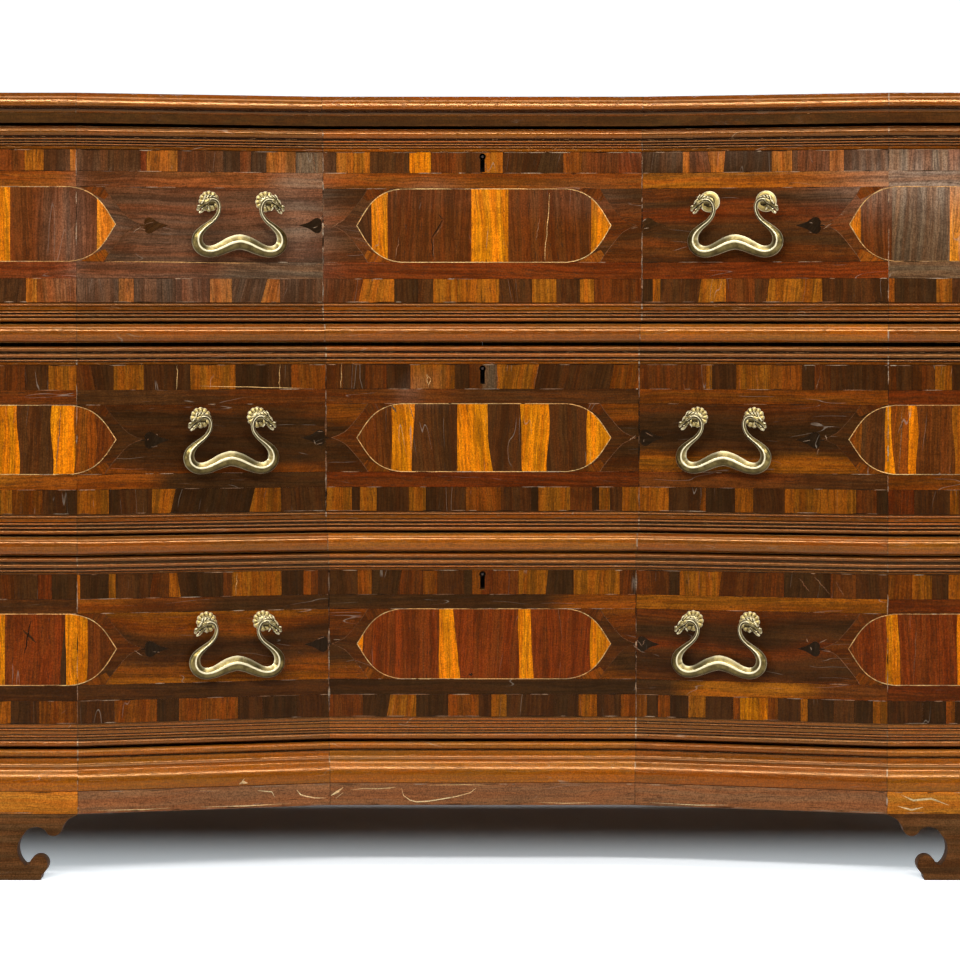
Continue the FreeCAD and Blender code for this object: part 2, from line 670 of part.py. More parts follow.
def make_front_foot(name, hand):
    """A bracket foot under the block, round the canted corner and back along the side."""
    outer = "plinth_projection"
    inner = "plinth_projection - plinth_thickness"
    side_end = "face_front + corner_setback + side_bracket_length"
    half = [
        ("outer_fold", f"face_front - ( {outer} )"),
        front_corner("block", outer, "fold_lower"),
        front_corner("side", outer, "fold_lower"),
        (f"side_half_width + ( {outer} )", side_end),
        (f"side_half_width + ( {inner} )", side_end),
        front_corner("side", inner, "fold_lower"),
        front_corner("block", inner, "fold_lower"),
        ("outer_fold", f"face_front - ( {inner} )"),
    ]
    plan = half if hand > 0 else mirrored(half)
    body = slab(name, plan, "0", "foot_height")
    end = "outer_fold" if hand > 0 else "0 - outer_fold"
    front_near = negative(f"face_front - ( {outer} ) - cutter_margin")
    cut_scallop(body, name + "_front_cut", "XZ_Plane", front_near, end, hand)
    cut_scallop(body, name + "_side_cut", "YZ_Plane", bracket_side(hand), side_end, -1)


def make_back_foot(name, hand):
    """A bracket foot along the rear end of the side, with a short return across the back."""
    outer = "side_half_width + plinth_projection"
    inner = "side_half_width + plinth_projection - plinth_thickness"
    side_end = "carcass_back - side_bracket_length"
    return_end = f"{outer} - back_bracket_length"
    half = [
        (inner, side_end),
        (outer, side_end),
        (outer, "carcass_back"),
        (return_end, "carcass_back"),
        (return_end, "carcass_back - plinth_thickness"),
        (inner, "carcass_back - plinth_thickness"),
    ]
    plan = half if hand > 0 else mirrored(half)
    body = slab(name, plan, "0", "foot_height")
    cut_scallop(body, name + "_side_cut", "YZ_Plane", bracket_side(hand), side_end, 1)
    end = return_end if hand > 0 else negative(return_end)
    back_near = negative("carcass_back - plinth_thickness - cutter_margin")
    cut_scallop(body, name + "_back_cut", "XZ_Plane", back_near, end, hand)


def make_feet():
    for hand, side in ((-1, "left"), (1, "right")):
        make_front_foot("foot_front_" + side, hand)
        make_back_foot("foot_back_" + side, hand)
    blocks = []
    inner = "side_half_width + plinth_projection - plinth_thickness"
    front = "face_front + corner_setback - ( plinth_projection - plinth_thickness ) * side_mitre"
    rear = "carcass_back - plinth_thickness"
    spans = {"front": (front, f"{front} + glue_block_width"), "back": (f"{rear} - glue_block_width", rear)}
    for place, (near, far) in spans.items():
        low = (f"{inner} - glue_block_width", near, "glue_block_rise")
        right = box(f"glue_block_{place}_right", low, (inner, far, "plinth_top"))
        low = (negative(inner), near, "glue_block_rise")
        left = box(f"glue_block_{place}_left", low, (f"glue_block_width - ( {inner} )", far, "plinth_top"))
        blocks += [left, right]
    group_of("foot_blocks", blocks)


def make_stops():
    """Blocks on the boards, against the back, that a closed drawer runs up to."""
    stops = []
    for tier in TIERS:
        for hand, side in ((-1, "left"), (1, "right")):
            middle = f"{hand} * stop_half_spacing"
            low = (f"{middle} - stop_width / 2", "back_inside - stop_length", "run_" + tier)
            high = (f"{middle} + stop_width / 2", "back_inside", f"run_{tier} + stop_height")
            stops.append(box(f"stop_{tier}_{side}", low, high))
    group_of("drawer_stops", stops)


# ---------------------------------------------------------------- handles

def across_axis(name, radius, left, right, distance_in):
    """A round bar along the face, at a distance in from it (negative: in front of it)."""
    bar = doc.addObject("Part::Cylinder", name)
    bar.setExpression("Radius", ref(radius))
    bar.setExpression("Height", ref(f"( {right} ) - ( {left} )"))
    turn = "rotation(vector(0; 1; 0); 90)"
    bar.setExpression("Placement", f"placement(vector({ref(left)}; {ref(distance_in)}; 0); {turn})")
    return bar


def into_face(name, radius, near, far, height="0"):
    """A round bar square to the face, between two distances in from it, at a height."""
    bar = doc.addObject("Part::Cylinder", name)
    bar.setExpression("Radius", ref(radius))
    bar.setExpression("Height", ref(f"( {far} ) - ( {near} )"))
    turn = "rotation(vector(1; 0; 0); -90)"
    bar.setExpression("Placement", f"placement(vector(0; {ref(near)}; {ref(height)}); {turn})")
    return bar


def make_post_pattern():
    """One post with its nut, one rosette and one drill, about the middle of the post's own rosette.
    Y runs into the drawer front, and Z is up."""
    shank_tip = "front_thickness + nut_thickness + shank_end"
    shank = into_face("post_shank", "shank_radius", "0 - post_standoff", shank_tip)
    eye = across_axis("post_eye", "eye_radius", "0 - eye_half_width", "eye_half_width",
                      "0 - post_standoff")
    solid = boolean("Fuse", "post_solid", shank, eye)
    bore = across_axis("post_bore", "pin_radius + pin_clearance", "0 - eye_half_width - cutter_margin",
                       "eye_half_width + cutter_margin", "0 - post_standoff")
    post = boolean("Cut", "post_pattern", solid, bore)

    prism = doc.addObject("Part::Prism", "nut_prism")
    prism.Polygon = NUT_SIDES
    prism.setExpression("Circumradius", ref("nut_radius"))
    prism.setExpression("Height", ref("nut_thickness"))
    turn = "rotation(vector(1; 0; 0); -90)"
    prism.setExpression("Placement", f"placement(vector(0; {ref('front_thickness')}; 0); {turn})")
    thread = into_face("nut_thread", "shank_radius", "front_thickness - cutter_margin",
                       "front_thickness + nut_thickness + cutter_margin")
    nut = boolean("Cut", "nut_pattern", prism, thread)

    disc = into_face("rosette_disc", "rosette_radius", "0 - rosette_thickness", "0")
    eyelet = into_face("rosette_eyelet", "shank_radius", "0 - rosette_thickness - cutter_margin",
                        "cutter_margin")
    rosette = boolean("Cut", "rosette_pattern", disc, eyelet)

    drill = into_face("drill_pattern", "shank_radius + shank_clearance", "0 - cutter_margin",
                      "front_thickness + cutter_margin")
    return group_of("post_and_nut_pattern", [post, nut]), rosette, drill


def bail_stations():
    """The right half of the bail's bar, from its hump to the pin: where its middle is, and half of its
    height and depth there. X runs along the face and Z up from the pivot."""
    pin_start = size("pin_start")
    hump = (size("hump_half_height"), size("bar_half_depth"))
    side = (size("loop_half_height"), size("bar_half_depth"))
    neck = (size("neck_radius"), size("neck_radius"))
    pin = (size("pin_radius"), size("pin_radius"))

    def between(first, last, share):
        return tuple(start + (end - start) * share for start, end in zip(first, last))

    def round_arc(centre, radius, first_angle, last_angle, steps):
        places = []
        for step in range(steps + 1):
            turn = math.radians(first_angle + (last_angle - first_angle) * step / steps)
            places.append(centre + FreeCAD.Vector(math.cos(turn), 0, math.sin(turn)) * radius)
        return places

    loop_centre = FreeCAD.Vector(size("loop_across"), 0, -size("loop_drop"))
    loop = round_arc(loop_centre, size("loop_radius"), size("loop_start_angle"), size("loop_end_angle"), 4)
    curl_centre = FreeCAD.Vector(pin_start, 0, -size("curl_radius"))
    curl = round_arc(curl_centre, size("curl_radius"), size("curl_start_angle"), size("curl_end_angle"), 2)
    hump_middle = FreeCAD.Vector(0, 0, -size("hump_drop"))
    stations = [(hump_middle, *hump), ((hump_middle + loop[0]) / 2, *between(hump, side, 0.5))]
    stations += [(place, *side) for place in loop[:-1]]
    stations += [(loop[-1], *between(side, neck, 1 / 3))]
    stations += [((loop[-1] + curl[0]) / 2, *between(side, neck, 2 / 3))]
    stations += [(place, *neck) for place in curl[:-1]]
    stations += [(curl[-1], *between(neck, pin, 0.5)), (FreeCAD.Vector(pin_start, 0, 0), *pin)]
    return stations


# The line of a beast's head from the pin: how far outward, how far down and how thick, in head radii.
HEAD_LINE = [(0.9, 0.3, 0.8), (1.9, 1.3, 1.0), (2.6, 2.8, 0.9)]
SNOUT = (3.0, 4.1)


def head_stations():
    """The small head beyond the pin, which hangs outward and down."""
    head = size("head_radius")
    start = FreeCAD.Vector(size("pin_end"), 0, 0)
    stations = [(start, size("pin_radius"), size("pin_radius"))]
    for out, down, thick in HEAD_LINE:
        stations.append((start + FreeCAD.Vector(out, 0, -down) * head, head * thick, head * thick))
    tip = start + FreeCAD.Vector(SNOUT[0], 0, -SNOUT[1]) * head
    stations.append((tip, size("snout_radius"), size("snout_radius")))
    return stations


def lofted_bar(stations, first_way, last_way):
    """A smooth bar through oval sections, each square to the way from its neighbour to the next."""
    wires = []
    for number, (middle, half_height, half_depth) in enumerate(stations):
        before = stations[max(number - 1, 0)][0]
        after = stations[min(number + 1, len(stations) - 1)][0]
        way = after - before
        if number == 0:
            way = first_way
        if number == len(stations) - 1:
            way = last_way
        radial = FreeCAD.Vector(-way.z, 0, way.x).normalize()
        outward = FreeCAD.Vector(0, 1, 0)
        quarter = [middle + radial * half_height, middle + outward * half_depth,
                   middle - radial * half_height, middle - outward * half_depth]
        if half_height > half_depth:
            curve = Part.Ellipse(quarter[0], quarter[1], middle)
        elif half_height < half_depth:
            curve = Part.Ellipse(quarter[1], quarter[2], middle)
        else:
            curve = Part.Circle(middle, way, half_height)
            curve.XAxis = radial
        wires.append(Part.Wire([curve.toShape()]))
    return Part.makeLoft(wires, True, False)


def bail_shape():
    """The whole bail about its pivot: bar, two pins and two heads."""
    right = bail_stations()
    left = [(FreeCAD.Vector(-middle.x, 0, middle.z), high, deep) for middle, high, deep in right[1:]]
    along = FreeCAD.Vector(1, 0, 0)
    pieces = [lofted_bar(list(reversed(left)) + right, FreeCAD.Vector(-1, 0, 0), along)]
    pin_length = size("pin_end") - size("pin_start")
    for hand in (-1, 1):
        start = FreeCAD.Vector(hand * size("pin_start"), 0, 0)
        pieces.append(Part.makeCylinder(size("pin_radius"), pin_length, start, along * hand))
        head = [(FreeCAD.Vector(hand * middle.x, 0, middle.z), high, deep)
                for middle, high, deep in head_stations()]
        pieces.append(lofted_bar(head, along * hand, head[-1][0] - head[-2][0]))
    return pieces[0].multiFuse(pieces[1:]).removeSplitter()


def cant_angle(tier):
    return f"atan(recess / ( outer_fold - fold_{tier} ) )"


def on_cant(tier, hand):
    """Where a handle stands on the canted plane, as a placement formula: its middle at the face."""
    side = "left" if hand < 0 else "right"
    across = f"handle_{side}_{tier}"
    face = f"face_front + ( outer_fold - {across} ) * recess / ( outer_fold - fold_{tier} )"
    height = f"foot_{tier} + handle_rise_{tier}"
    place = f"vector({ref(f'{hand} * {across}')}; {ref(face)}; {ref(height)})"
    turn = f"rotation(vector(0; 0; 1); {ref(f'{-hand} * {cant_angle(tier)}')})"
    return f"placement({place}; {turn})"


def placed_at_posts(name, pattern, tier):
    """Copies a pattern to the four posts of one drawer."""
    copies = []
    for hand in (-1, 1):
        for end in (-1, 1):
            copy = doc.addObject("App::Link", f"{name}_{len(copies) + 1}")
            copy.LinkedObject = pattern
            copy.LinkTransform = True
            spread = f"vector({ref(f'{end} * post_half_spacing')}; 0; 0)"
            turn = "rotation(vector(0; 0; 1); 0)"
            copy.setExpression("Placement", f"{on_cant(tier, hand)} * placement({spread}; {turn})")
            copies.append(copy)
    return group_of(name, copies)


def make_bails(tier, shape):
    for hand, side in ((-1, "left"), (1, "right")):
        bail = doc.addObject("Part::Feature", f"{tier}_bail_{side}")
        bail.Shape = shape
        lift = f"placement(vector(0; {ref('0 - post_standoff')}; 0); rotation(vector(0; 0; 1); 0))"
        bail.setExpression("Placement", f"{on_cant(tier, hand)} * {lift}")


# ---------------------------------------------------------------- drawers

def make_front(tier, drill):
    """The shaped front core and the marquetry on it, both bored for the posts and the keyhole."""
    fold = "fold_" + tier
    end = "drawer_half_width"
    foot = "foot_" + tier
    head = "head_" + tier
    reed_top = "reed_strip_top_" + tier
    reed_foot = "reed_strip_foot_" + tier
    core = slab(tier + "_front_core", shell("0 - veneer_thickness", "0 - front_thickness", fold, end),
                foot, f"drawer_height_{tier}")
    skin = slab(tier + "_front_skin", shell("0", "0 - veneer_thickness", fold, end),
                f"{foot} + {reed_foot}", f"drawer_height_{tier} - {reed_foot} - {reed_top}")

    holes = placed_at_posts(tier + "_drills", drill, tier)
    keyhole_head = f"{head} - {reed_top} - keyhole_drop - keyhole_radius"
    keyhole_foot = f"{head} - {reed_top} - keyhole_drop - keyhole_length"
    half_slot = "keyhole_slot_width / 2"
    near, far = "centre_face - cutter_margin", "lock_front + cutter_margin"
    slot = box(tier + "_keyhole_slot", (negative(half_slot), near, keyhole_foot),
               (half_slot, far, keyhole_head))
    eye = into_face(tier + "_keyhole_eye", "keyhole_radius", near, far, keyhole_head)
    for name, body in (("front", core), ("marquetry", skin)):
        tools = doc.addObject("Part::MultiFuse", f"{tier}_{name}_tools")
        tools.Shapes = [holes, slot, eye]
        boolean("Cut", f"{tier}_{name}", body, tools)


def reed_profile(height, bead_up):
    """One reeded strip from its foot up: fine reeds, and a large bead along the drawer's edge."""
    reeds = int(size("reed_count"))
    crown_height = f"{height} - edge_bead_height / 2" if bead_up else "edge_bead_height / 2"
    edge_bead = ("edge_bead_projection", crown_height)
    profile = [("0 - veneer_thickness", "0")]
    if bead_up:
        first_reed = f"( {height} - edge_bead_height - reed_quirk - {reeds} * reed_height )"
        profile.append(("reed_bed", "0"))
    else:
        first_reed = "( edge_bead_height + reed_quirk )"
        profile += [("reed_bed", "0") + edge_bead, ("reed_bed", "edge_bead_height")]
    for number in range(reeds):
        start = f"{first_reed} + {number} * reed_height"
        profile.append(("reed_bed", start, "reed_projection", f"{start} + reed_height / 2"))
    profile.append(("reed_bed", f"{first_reed} + {reeds} * reed_height"))
    if bead_up:
        profile.append(("reed_bed", f"{height} - edge_bead_height") + edge_bead)
    profile += [("reed_bed", height), ("0 - veneer_thickness", height)]
    return profile


def make_reeding(tier):
    strips = []
    for place, bead_up in (("top", True), ("foot", False)):
        height = f"reed_strip_{place}_{tier}"
        bottom = f"head_{tier} - {height}" if bead_up else f"foot_{tier}"
        run = moulding(f"{tier}_reed_{place}_run", reed_profile(height, bead_up), bottom, "fold_" + tier,
                       "centre_face")
        strips.append(trimmed(f"{tier}_reed_{place}", run, "drawer_half_width", bottom,
                              f"{bottom} + {height}"))
    group_of(tier + "_reeding", strips)


def make_drawer_box(tier):
    """Sides, back and bottom behind the shaped front."""
    fold = "fold_" + tier
    floor = f"run_{tier} + running_gap"
    inset = "0 - front_thickness"
    outer_front = on_corner_plane("drawer_half_width", inset)
    inner_front = on_corner_plane("drawer_inside", inset)
    side = [inner_front, outer_front, ("drawer_half_width", "drawer_rear"),
            ("drawer_inside", "drawer_rear")]
    side_height = f"head_{tier} - side_drop - ( {floor} )"
    slab(tier + "_drawer_side_right", side, floor, side_height)
    slab(tier + "_drawer_side_left", mirrored(side), floor, side_height)
    back_front = "drawer_rear - drawer_back_thickness"
    box(tier + "_drawer_back", ("0 - drawer_inside", back_front, floor),
        ("drawer_inside", "drawer_rear", f"head_{tier} - back_drop"))
    bottom = filled_front(inset, fold, "drawer_inside", back_front)
    slab(tier + "_drawer_bottom", bottom, f"run_{tier} + drawer_floor", "drawer_bottom_thickness")


def make_lock(tier):
    """The lock case on the back of the front, with its drill pin, and the bolt in its channel."""
    head = "head_" + tier
    case = box(tier + "_lock_block", ("0 - lock_half_width", "lock_front", f"{head} - lock_height"),
               ("lock_half_width", "lock_front + lock_thickness", head))
    half = "bolt_half_width + bolt_clearance"
    channel = box(tier + "_lock_channel",
                  (negative(half), "bolt_front - bolt_clearance",
                   f"{head} - bolt_recess - bolt_height - bolt_clearance"),
                  (half, "bolt_front + bolt_thickness + bolt_clearance", f"{head} + cutter_margin"))
    hollow = boolean("Cut", tier + "_lock_shell", case, channel)
    pin_height = f"{head} - reed_strip_top_{tier} - keyhole_drop - keyhole_radius"
    pin = into_face(tier + "_key_pin", "key_pin_radius", "centre_face + veneer_thickness",
                    "lock_front + bolt_clearance", pin_height)
    boolean("Fuse", tier + "_lock_case", hollow, pin)
    box(tier + "_lock_bolt", ("0 - bolt_half_width", "bolt_front", f"{head} - bolt_recess - bolt_height"),
        ("bolt_half_width", "bolt_front + bolt_thickness", f"{head} - bolt_recess"))


def make_drawers():
    post, rosette, drill = make_post_pattern()
    shape = bail_shape()
    for tier in TIERS:
        make_front(tier, drill)
        make_reeding(tier)
        make_drawer_box(tier)
        make_lock(tier)
        placed_at_posts(tier + "_rosettes", rosette, tier)
        placed_at_posts(tier + "_handle_posts", post, tier)
        make_bails(tier, shape)


# ---------------------------------------------------------------- the finished pieces

CARCASS_PIECES = [
    "top_board", "top_edge_moulding", "frieze_rail", "side_left", "side_right",
    "divider_upper", "divider_lower", "divider_bead_upper", "divider_bead_lower",
    "bottom_board", "base_rail", "base_moulding", "base_plinth",
    "foot_front_left", "foot_front_right", "foot_back_left", "foot_back_right", "foot_blocks",
    "back_boards", "drawer_stops",
]
DRAWER_PIECES = [
    "front", "marquetry", "reeding", "drawer_side_left", "drawer_side_right", "drawer_back",
    "drawer_bottom", "lock_case", "lock_bolt", "rosettes", "handle_posts", "bail_left", "bail_right",
]


def check_document():
    """Stops if a feature of the document has failed."""
    failed = [item.Name for item in doc.Objects if "Invalid" in item.State or "Error" in item.State]
    if failed:
        raise RuntimeError("failed: " + ", ".join(failed))


def write_pieces():
    names = CARCASS_PIECES + [f"{tier}_{piece}" for tier in TIERS for piece in DRAWER_PIECES]
    pieces = [doc.getObject(name) for name in names]
    for name, piece in zip(names, pieces):
        if piece is None or piece.Shape.isNull() or not piece.Shape.isValid() or not piece.Shape.Solids:
            raise RuntimeError("no sound solid: " + name)
    os.makedirs("parts", exist_ok=True)
    for name, piece in zip(names, pieces):
        piece.Label = name
        piece.Shape.exportStep(f"parts/{name}.step")
    print(len(pieces), "pieces written")


fill_sheet()
make_top()
make_frieze()
make_dividers()
make_sides()
make_back()
make_base()
make_feet()
make_stops()
make_drawers()
doc.recompute()
check_document()
write_pieces()
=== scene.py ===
# %% [markdown]
# # A baroque chest of three drawers, dressed for show
# The packed model is the joiner's bench: every board, drawer, lock and handle already stands in its place.
# This lesson adds what a veneerer, a polisher and a founder add. Lengths are written in millimetres, as on
# a drawing, and turned into Blender's metres in one place only, where a mesh is made.

# %% Load the packed model
import json
import math
import random
from functools import lru_cache

import bmesh
import bpy
from mathutils import Matrix, Vector, noise


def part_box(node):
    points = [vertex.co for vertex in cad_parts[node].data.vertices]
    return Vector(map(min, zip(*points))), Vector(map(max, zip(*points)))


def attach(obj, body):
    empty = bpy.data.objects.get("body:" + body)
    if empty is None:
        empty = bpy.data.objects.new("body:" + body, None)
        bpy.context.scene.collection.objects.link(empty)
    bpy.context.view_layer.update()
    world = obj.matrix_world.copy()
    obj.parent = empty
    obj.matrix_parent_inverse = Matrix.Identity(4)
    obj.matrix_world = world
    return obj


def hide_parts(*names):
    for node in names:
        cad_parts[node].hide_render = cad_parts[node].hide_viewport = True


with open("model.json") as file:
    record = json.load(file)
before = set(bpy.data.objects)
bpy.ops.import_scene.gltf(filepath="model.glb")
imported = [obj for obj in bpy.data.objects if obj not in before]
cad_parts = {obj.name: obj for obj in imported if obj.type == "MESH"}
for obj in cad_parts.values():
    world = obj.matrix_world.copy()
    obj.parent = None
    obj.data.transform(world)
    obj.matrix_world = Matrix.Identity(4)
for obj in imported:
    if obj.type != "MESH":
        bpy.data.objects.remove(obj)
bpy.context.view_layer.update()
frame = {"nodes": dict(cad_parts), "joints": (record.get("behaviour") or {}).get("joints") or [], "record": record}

MM = 0.001
TIERS = ("lower", "middle", "upper")
BODY = {node: body for body, nodes in frame["record"]["behaviour"]["bodies"].items() for node in nodes}
SLOT = {part["node"]: part["material_slot"] for part in frame["record"]["subparts"]}

# %% [markdown]
# ## The broken front, in plan
# The front isn't flat. Its middle is set back; on each side a canted plane comes forward to a projecting
# block, and a canted corner runs back to the side. Veneers, reeds and mouldings all follow that line, so one
# function gives its corners at any distance off the drawer faces. Each corner is mitred, as a joiner would.

# %% The line of the front
# How far behind the blocks the centre and the sides' front edges lie.
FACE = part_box("upper_marquetry")[0].y / MM
RECESS, SETBACK = 68, 40
OUTER_FOLD, BLOCK_END = 425, 599
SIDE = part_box("side_right")[1].x / MM
FOLDS = {"top": 172, "upper": 170, "middle": 167, "lower": 164,
         "divider_upper": 168.5, "divider_lower": 165.5, "base": 164}
DRAWER_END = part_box("upper_front")[1].x / MM
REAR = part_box("back_boards")[1].y / MM
CORNER_SLOPE = SETBACK / (SIDE - BLOCK_END)
CORNER_SECANT = math.hypot(1, CORNER_SLOPE)


@lru_cache(maxsize=None)
def front_corners(fold, outset):
    """The corners of the front in plan, from left to right."""
    cant = OUTER_FOLD - fold
    mitre = (math.hypot(cant, RECESS) - cant) / RECESS
    half = [
        (fold - outset * mitre, FACE + RECESS - outset),
        (OUTER_FOLD - outset * mitre, FACE - outset),
        (BLOCK_END + outset * (CORNER_SECANT - 1) / CORNER_SLOPE, FACE - outset),
        (SIDE + outset, FACE + SETBACK - outset * (CORNER_SECANT - CORNER_SLOPE)),
    ]
    return [(-across, deep) for across, deep in reversed(half)] + half


def on_front(fold):
    """A function that carries a point of the flat drawing (across, up, off the face) onto the front."""
    def place(across, up, outset):
        flush, lifted = front_corners(fold, 0), front_corners(fold, outset)
        number = 0
        while number < len(flush) - 2 and across > flush[number + 1][0]:
            number += 1
        left, right = flush[number], flush[number + 1]
        share = (across - left[0]) / (right[0] - left[0])
        start, end = Vector(lifted[number]), Vector(lifted[number + 1])
        return Vector((*start.lerp(end, share), up))
    return place


def planes(fold, end):
    """The flat planes of the front from left to right, as (left edge, right edge)."""
    edges = [-end, -BLOCK_END, -OUTER_FOLD, -fold, fold, OUTER_FOLD, BLOCK_END, end]
    return list(zip(edges, edges[1:]))


print("the upper drawer's planes", planes(FOLDS["upper"], DRAWER_END))

# %% [markdown]
# ## Shader maths in plain Python
# A finish is a sheet of nodes. Drawn by hand it soon becomes a tangle, so a small class wraps one socket and
# gives it Python's operators: `tint * (1 - pore)` then lays the nodes itself. Numbers go through Math nodes,
# vectors through Vector Math and colours through Mix, because a Math node would turn a colour grey.

# %% A socket with operators
class Wire:
    """One socket of a finish, with the operators that its maths needs."""

    def __init__(self, finish, socket):
        self.finish = finish
        self.socket = socket

    def __add__(self, other):
        return self.finish.combined("ADD", self, other)

    def __radd__(self, other):
        return self.finish.combined("ADD", other, self)

    def __sub__(self, other):
        return self.finish.combined("SUBTRACT", self, other)

    def __rsub__(self, other):
        return self.finish.combined("SUBTRACT", other, self)

    def __mul__(self, other):
        return self.finish.combined("MULTIPLY", self, other)

    def __rmul__(self, other):
        return self.finish.combined("MULTIPLY", other, self)

    def __abs__(self):
        return self.finish.node("Math", {"operation": "ABSOLUTE"}, {0: self})


def colour(text):
    """A colour written as six hexadecimal digits, turned into the linear light that Blender mixes."""
    parts = [int(text[start:start + 2], 16) / 255 for start in (0, 2, 4)]
    return tuple(part / 12.92 if part < 0.04045 else ((part + 0.055) / 1.055) ** 2.4 for part in parts)


print("amber in linear light", colour("884c0e"))

# %% [markdown]
# The finish itself holds the sheet. Its one `node` method lays any node: settings come first, because a
# node's mode decides which sockets it has, and then the values or wires of its sockets.

# %% A finish that holds its nodes
class Finish:
    """A material under construction."""

    def __init__(self, name):
        self.material = bpy.data.materials.new(name)
        self.material.use_nodes = True
        self.sheet = self.material.node_tree
        self.sheet.nodes.clear()

    def node(self, kind, settings=None, sockets=None, out=0):
        """Any node: its settings first, then the values or wires of its sockets."""
        made = self.sheet.nodes.new("ShaderNode" + kind)
        for name, value in (settings or {}).items():
            setattr(made, name, value)
        for name, value in (sockets or {}).items():
            if isinstance(value, Wire):
                self.sheet.links.new(value.socket, made.inputs[name])
            else:
                made.inputs[name].default_value = value
        return Wire(self, made.outputs[out])

    def combined(self, operation, first, second):
        """The node that joins two values, of the kind that the values need."""
        kinds = {item.socket.type for item in (first, second) if isinstance(item, Wire)}

        def fitted(item, size):
            if isinstance(item, Wire):
                return item
            parts = tuple(item) if isinstance(item, (tuple, list, Vector)) else (item,) * 3
            return parts + (1,) * (size - 3)

        if "RGBA" in kinds:
            settings = {"data_type": "RGBA", "blend_type": operation, "clamp_result": False}
            return self.node("Mix", settings, {0: 1, 6: fitted(first, 4), 7: fitted(second, 4)}, out=2)
        if "VECTOR" in kinds:
            sockets = {0: fitted(first, 3), 1: fitted(second, 3)}
            return self.node("VectorMath", {"operation": operation}, sockets)
        return self.node("Math", {"operation": operation}, {0: first, 1: second})

    def blend(self, share, first, second):
        """Mixes two colours."""
        sockets = {0: share, 6: first, 7: second}
        for key in (6, 7):
            if not isinstance(sockets[key], Wire):
                sockets[key] = (*sockets[key], 1)
        return self.node("Mix", {"data_type": "RGBA"}, sockets, out=2)

    def ease(self, value, low, high, start=0.0, end=1.0):
        """Runs smoothly from start to end while value goes from low to high."""
        sockets = {0: value, 1: low, 2: high, 3: start, 4: end}
        return self.node("MapRange", {"interpolation_type": "SMOOTHSTEP"}, sockets)

    def cloud(self, place, stretch, detail=2.0, roughness=0.5):
        """Noise about 0.5, with so many lumps to the millimetre along each axis."""
        sockets = {"Vector": place * stretch, "Scale": 1.0, "Detail": detail, "Roughness": roughness}
        return self.node("TexNoise", None, sockets)

    def attribute(self, name, out):
        return self.node("Attribute", {"attribute_name": name}, None, out)

    def own_place(self):
        """The place on the piece itself, in millimetres, so that the figure travels with the piece."""
        return self.node("TexCoord", None, None, "Object") * (1 / MM)

    def done(self, sockets, height, relief):
        """Closes the sheet with the shader; height drives a bump of so many millimetres of relief."""
        shader = self.node("BsdfPrincipled", None, sockets)
        bump = self.node("Bump", None, {"Strength": 1.0, "Distance": relief * MM, "Height": height})
        self.sheet.links.new(bump.socket, shader.socket.node.inputs["Normal"])
        self.closed(shader)
        return self.material

    def closed(self, shader):
        output = self.sheet.nodes.new("ShaderNodeOutputMaterial")
        self.sheet.links.new(shader.socket, output.inputs["Surface"])


print("a finish can", [name for name in vars(Finish) if not name.startswith("_")])

# %% [markdown]
# ## Old walnut under polish
# The front is veneered in walnut and plum, sawn by hand and polished for two centuries. What the eye reads
# as wood is several things at several scales: slow dark bands, narrow streaks, fibres, short open pores, and
# a chalky worn line where one leaf meets the next. Every leaf carries its own tone and the direction of its
# own grain as attributes of its points, so one finish serves every leaf.

# %% The figure of wood at its several scales
# For each: lumps to the millimetre along and across the grain, levels of detail, roughness of the noise.
FIGURE = {
    "band": ((0.005, 0.085, 0.085), 3),
    "streak": ((0.008, 0.42, 0.42), 3, 0.6),
    "fibre": ((0.05, 1.5, 1.5), 4, 0.65),
    "mottle": ((0.1, 0.05, 0.05), 2),
    "warmth": ((0.006, 0.14, 0.14), 2),
    "grit": ((0.6, 0.6, 0.6), 3, 0.7),
    "pore": ((0.1, 1.1, 1.1), 2),
    "veil": ((0.02, 0.02, 0.02), 3),
    "hair": ((0.006, 0.05, 0.05), 1),
    "patch": ((0.06, 0.06, 0.06), 4, 0.65),
}
SWAY_STRETCH, SWAY = (0.012, 0.03, 1), 9.0
GRAIN_TURNS = {"x": (0, 0, 0), "y": (0, 0, math.pi / 2), "z": (0, math.pi / 2, 0)}

# The figure darkens, warms or cools a tone by these factors of red, green and blue.
SHADED = (0.4, 0.34, 0.3)
WARM, COOL = (1.1, 0.95, 0.8), (0.93, 1.03, 1.05)
GRIT_DARK, GRIT_LIT = (0.64, 0.62, 0.6), (1.32, 1.32, 1.34)


def scaled(tint, factors):
    """A tone made lighter or darker, whether it is a wire or plain numbers."""
    if isinstance(tint, Wire):
        return tint * factors
    return tuple(part * factor for part, factor in zip(tint, factors))


def carried(finish, place, tone, grain):
    """The tone, the place along the grain, the rim, and the soil with painted shade, as the leaves or the piece
    have them.
    """
    if tone is None:
        return (finish.attribute("tint", "Color"), finish.attribute("grain", "Vector"),
                finish.attribute("rim", "Fac"), finish.attribute("soil", "Fac"))
    run = finish.node("Mapping", None, {"Vector": place, "Rotation": GRAIN_TURNS[grain]})
    return tone, run, None, None


print("the figure's scales", list(FIGURE))

# %% [markdown]
# The figure goes on from the widest to the finest, and the noise behind it is bent first, because grain
# never runs quite straight. Then comes what time has added: hair cracks, worm holes, worn and dirty rims.
# A warm tint in the gloss stands for old shellac, which is amber.

# %% The wood finish
CHALK = colour("9a8a78")
VARNISH = (1.0, 0.5, 0.2, 1)
PORE_BROWN, DIRT_AND_SHADE = (0.02, 0.01, 0.005), (0.008, 0.005, 0.003)
WORM_HOLES = 0.035
COAT_ROUGHNESS = 0.12
WOOD_RELIEF = 0.06


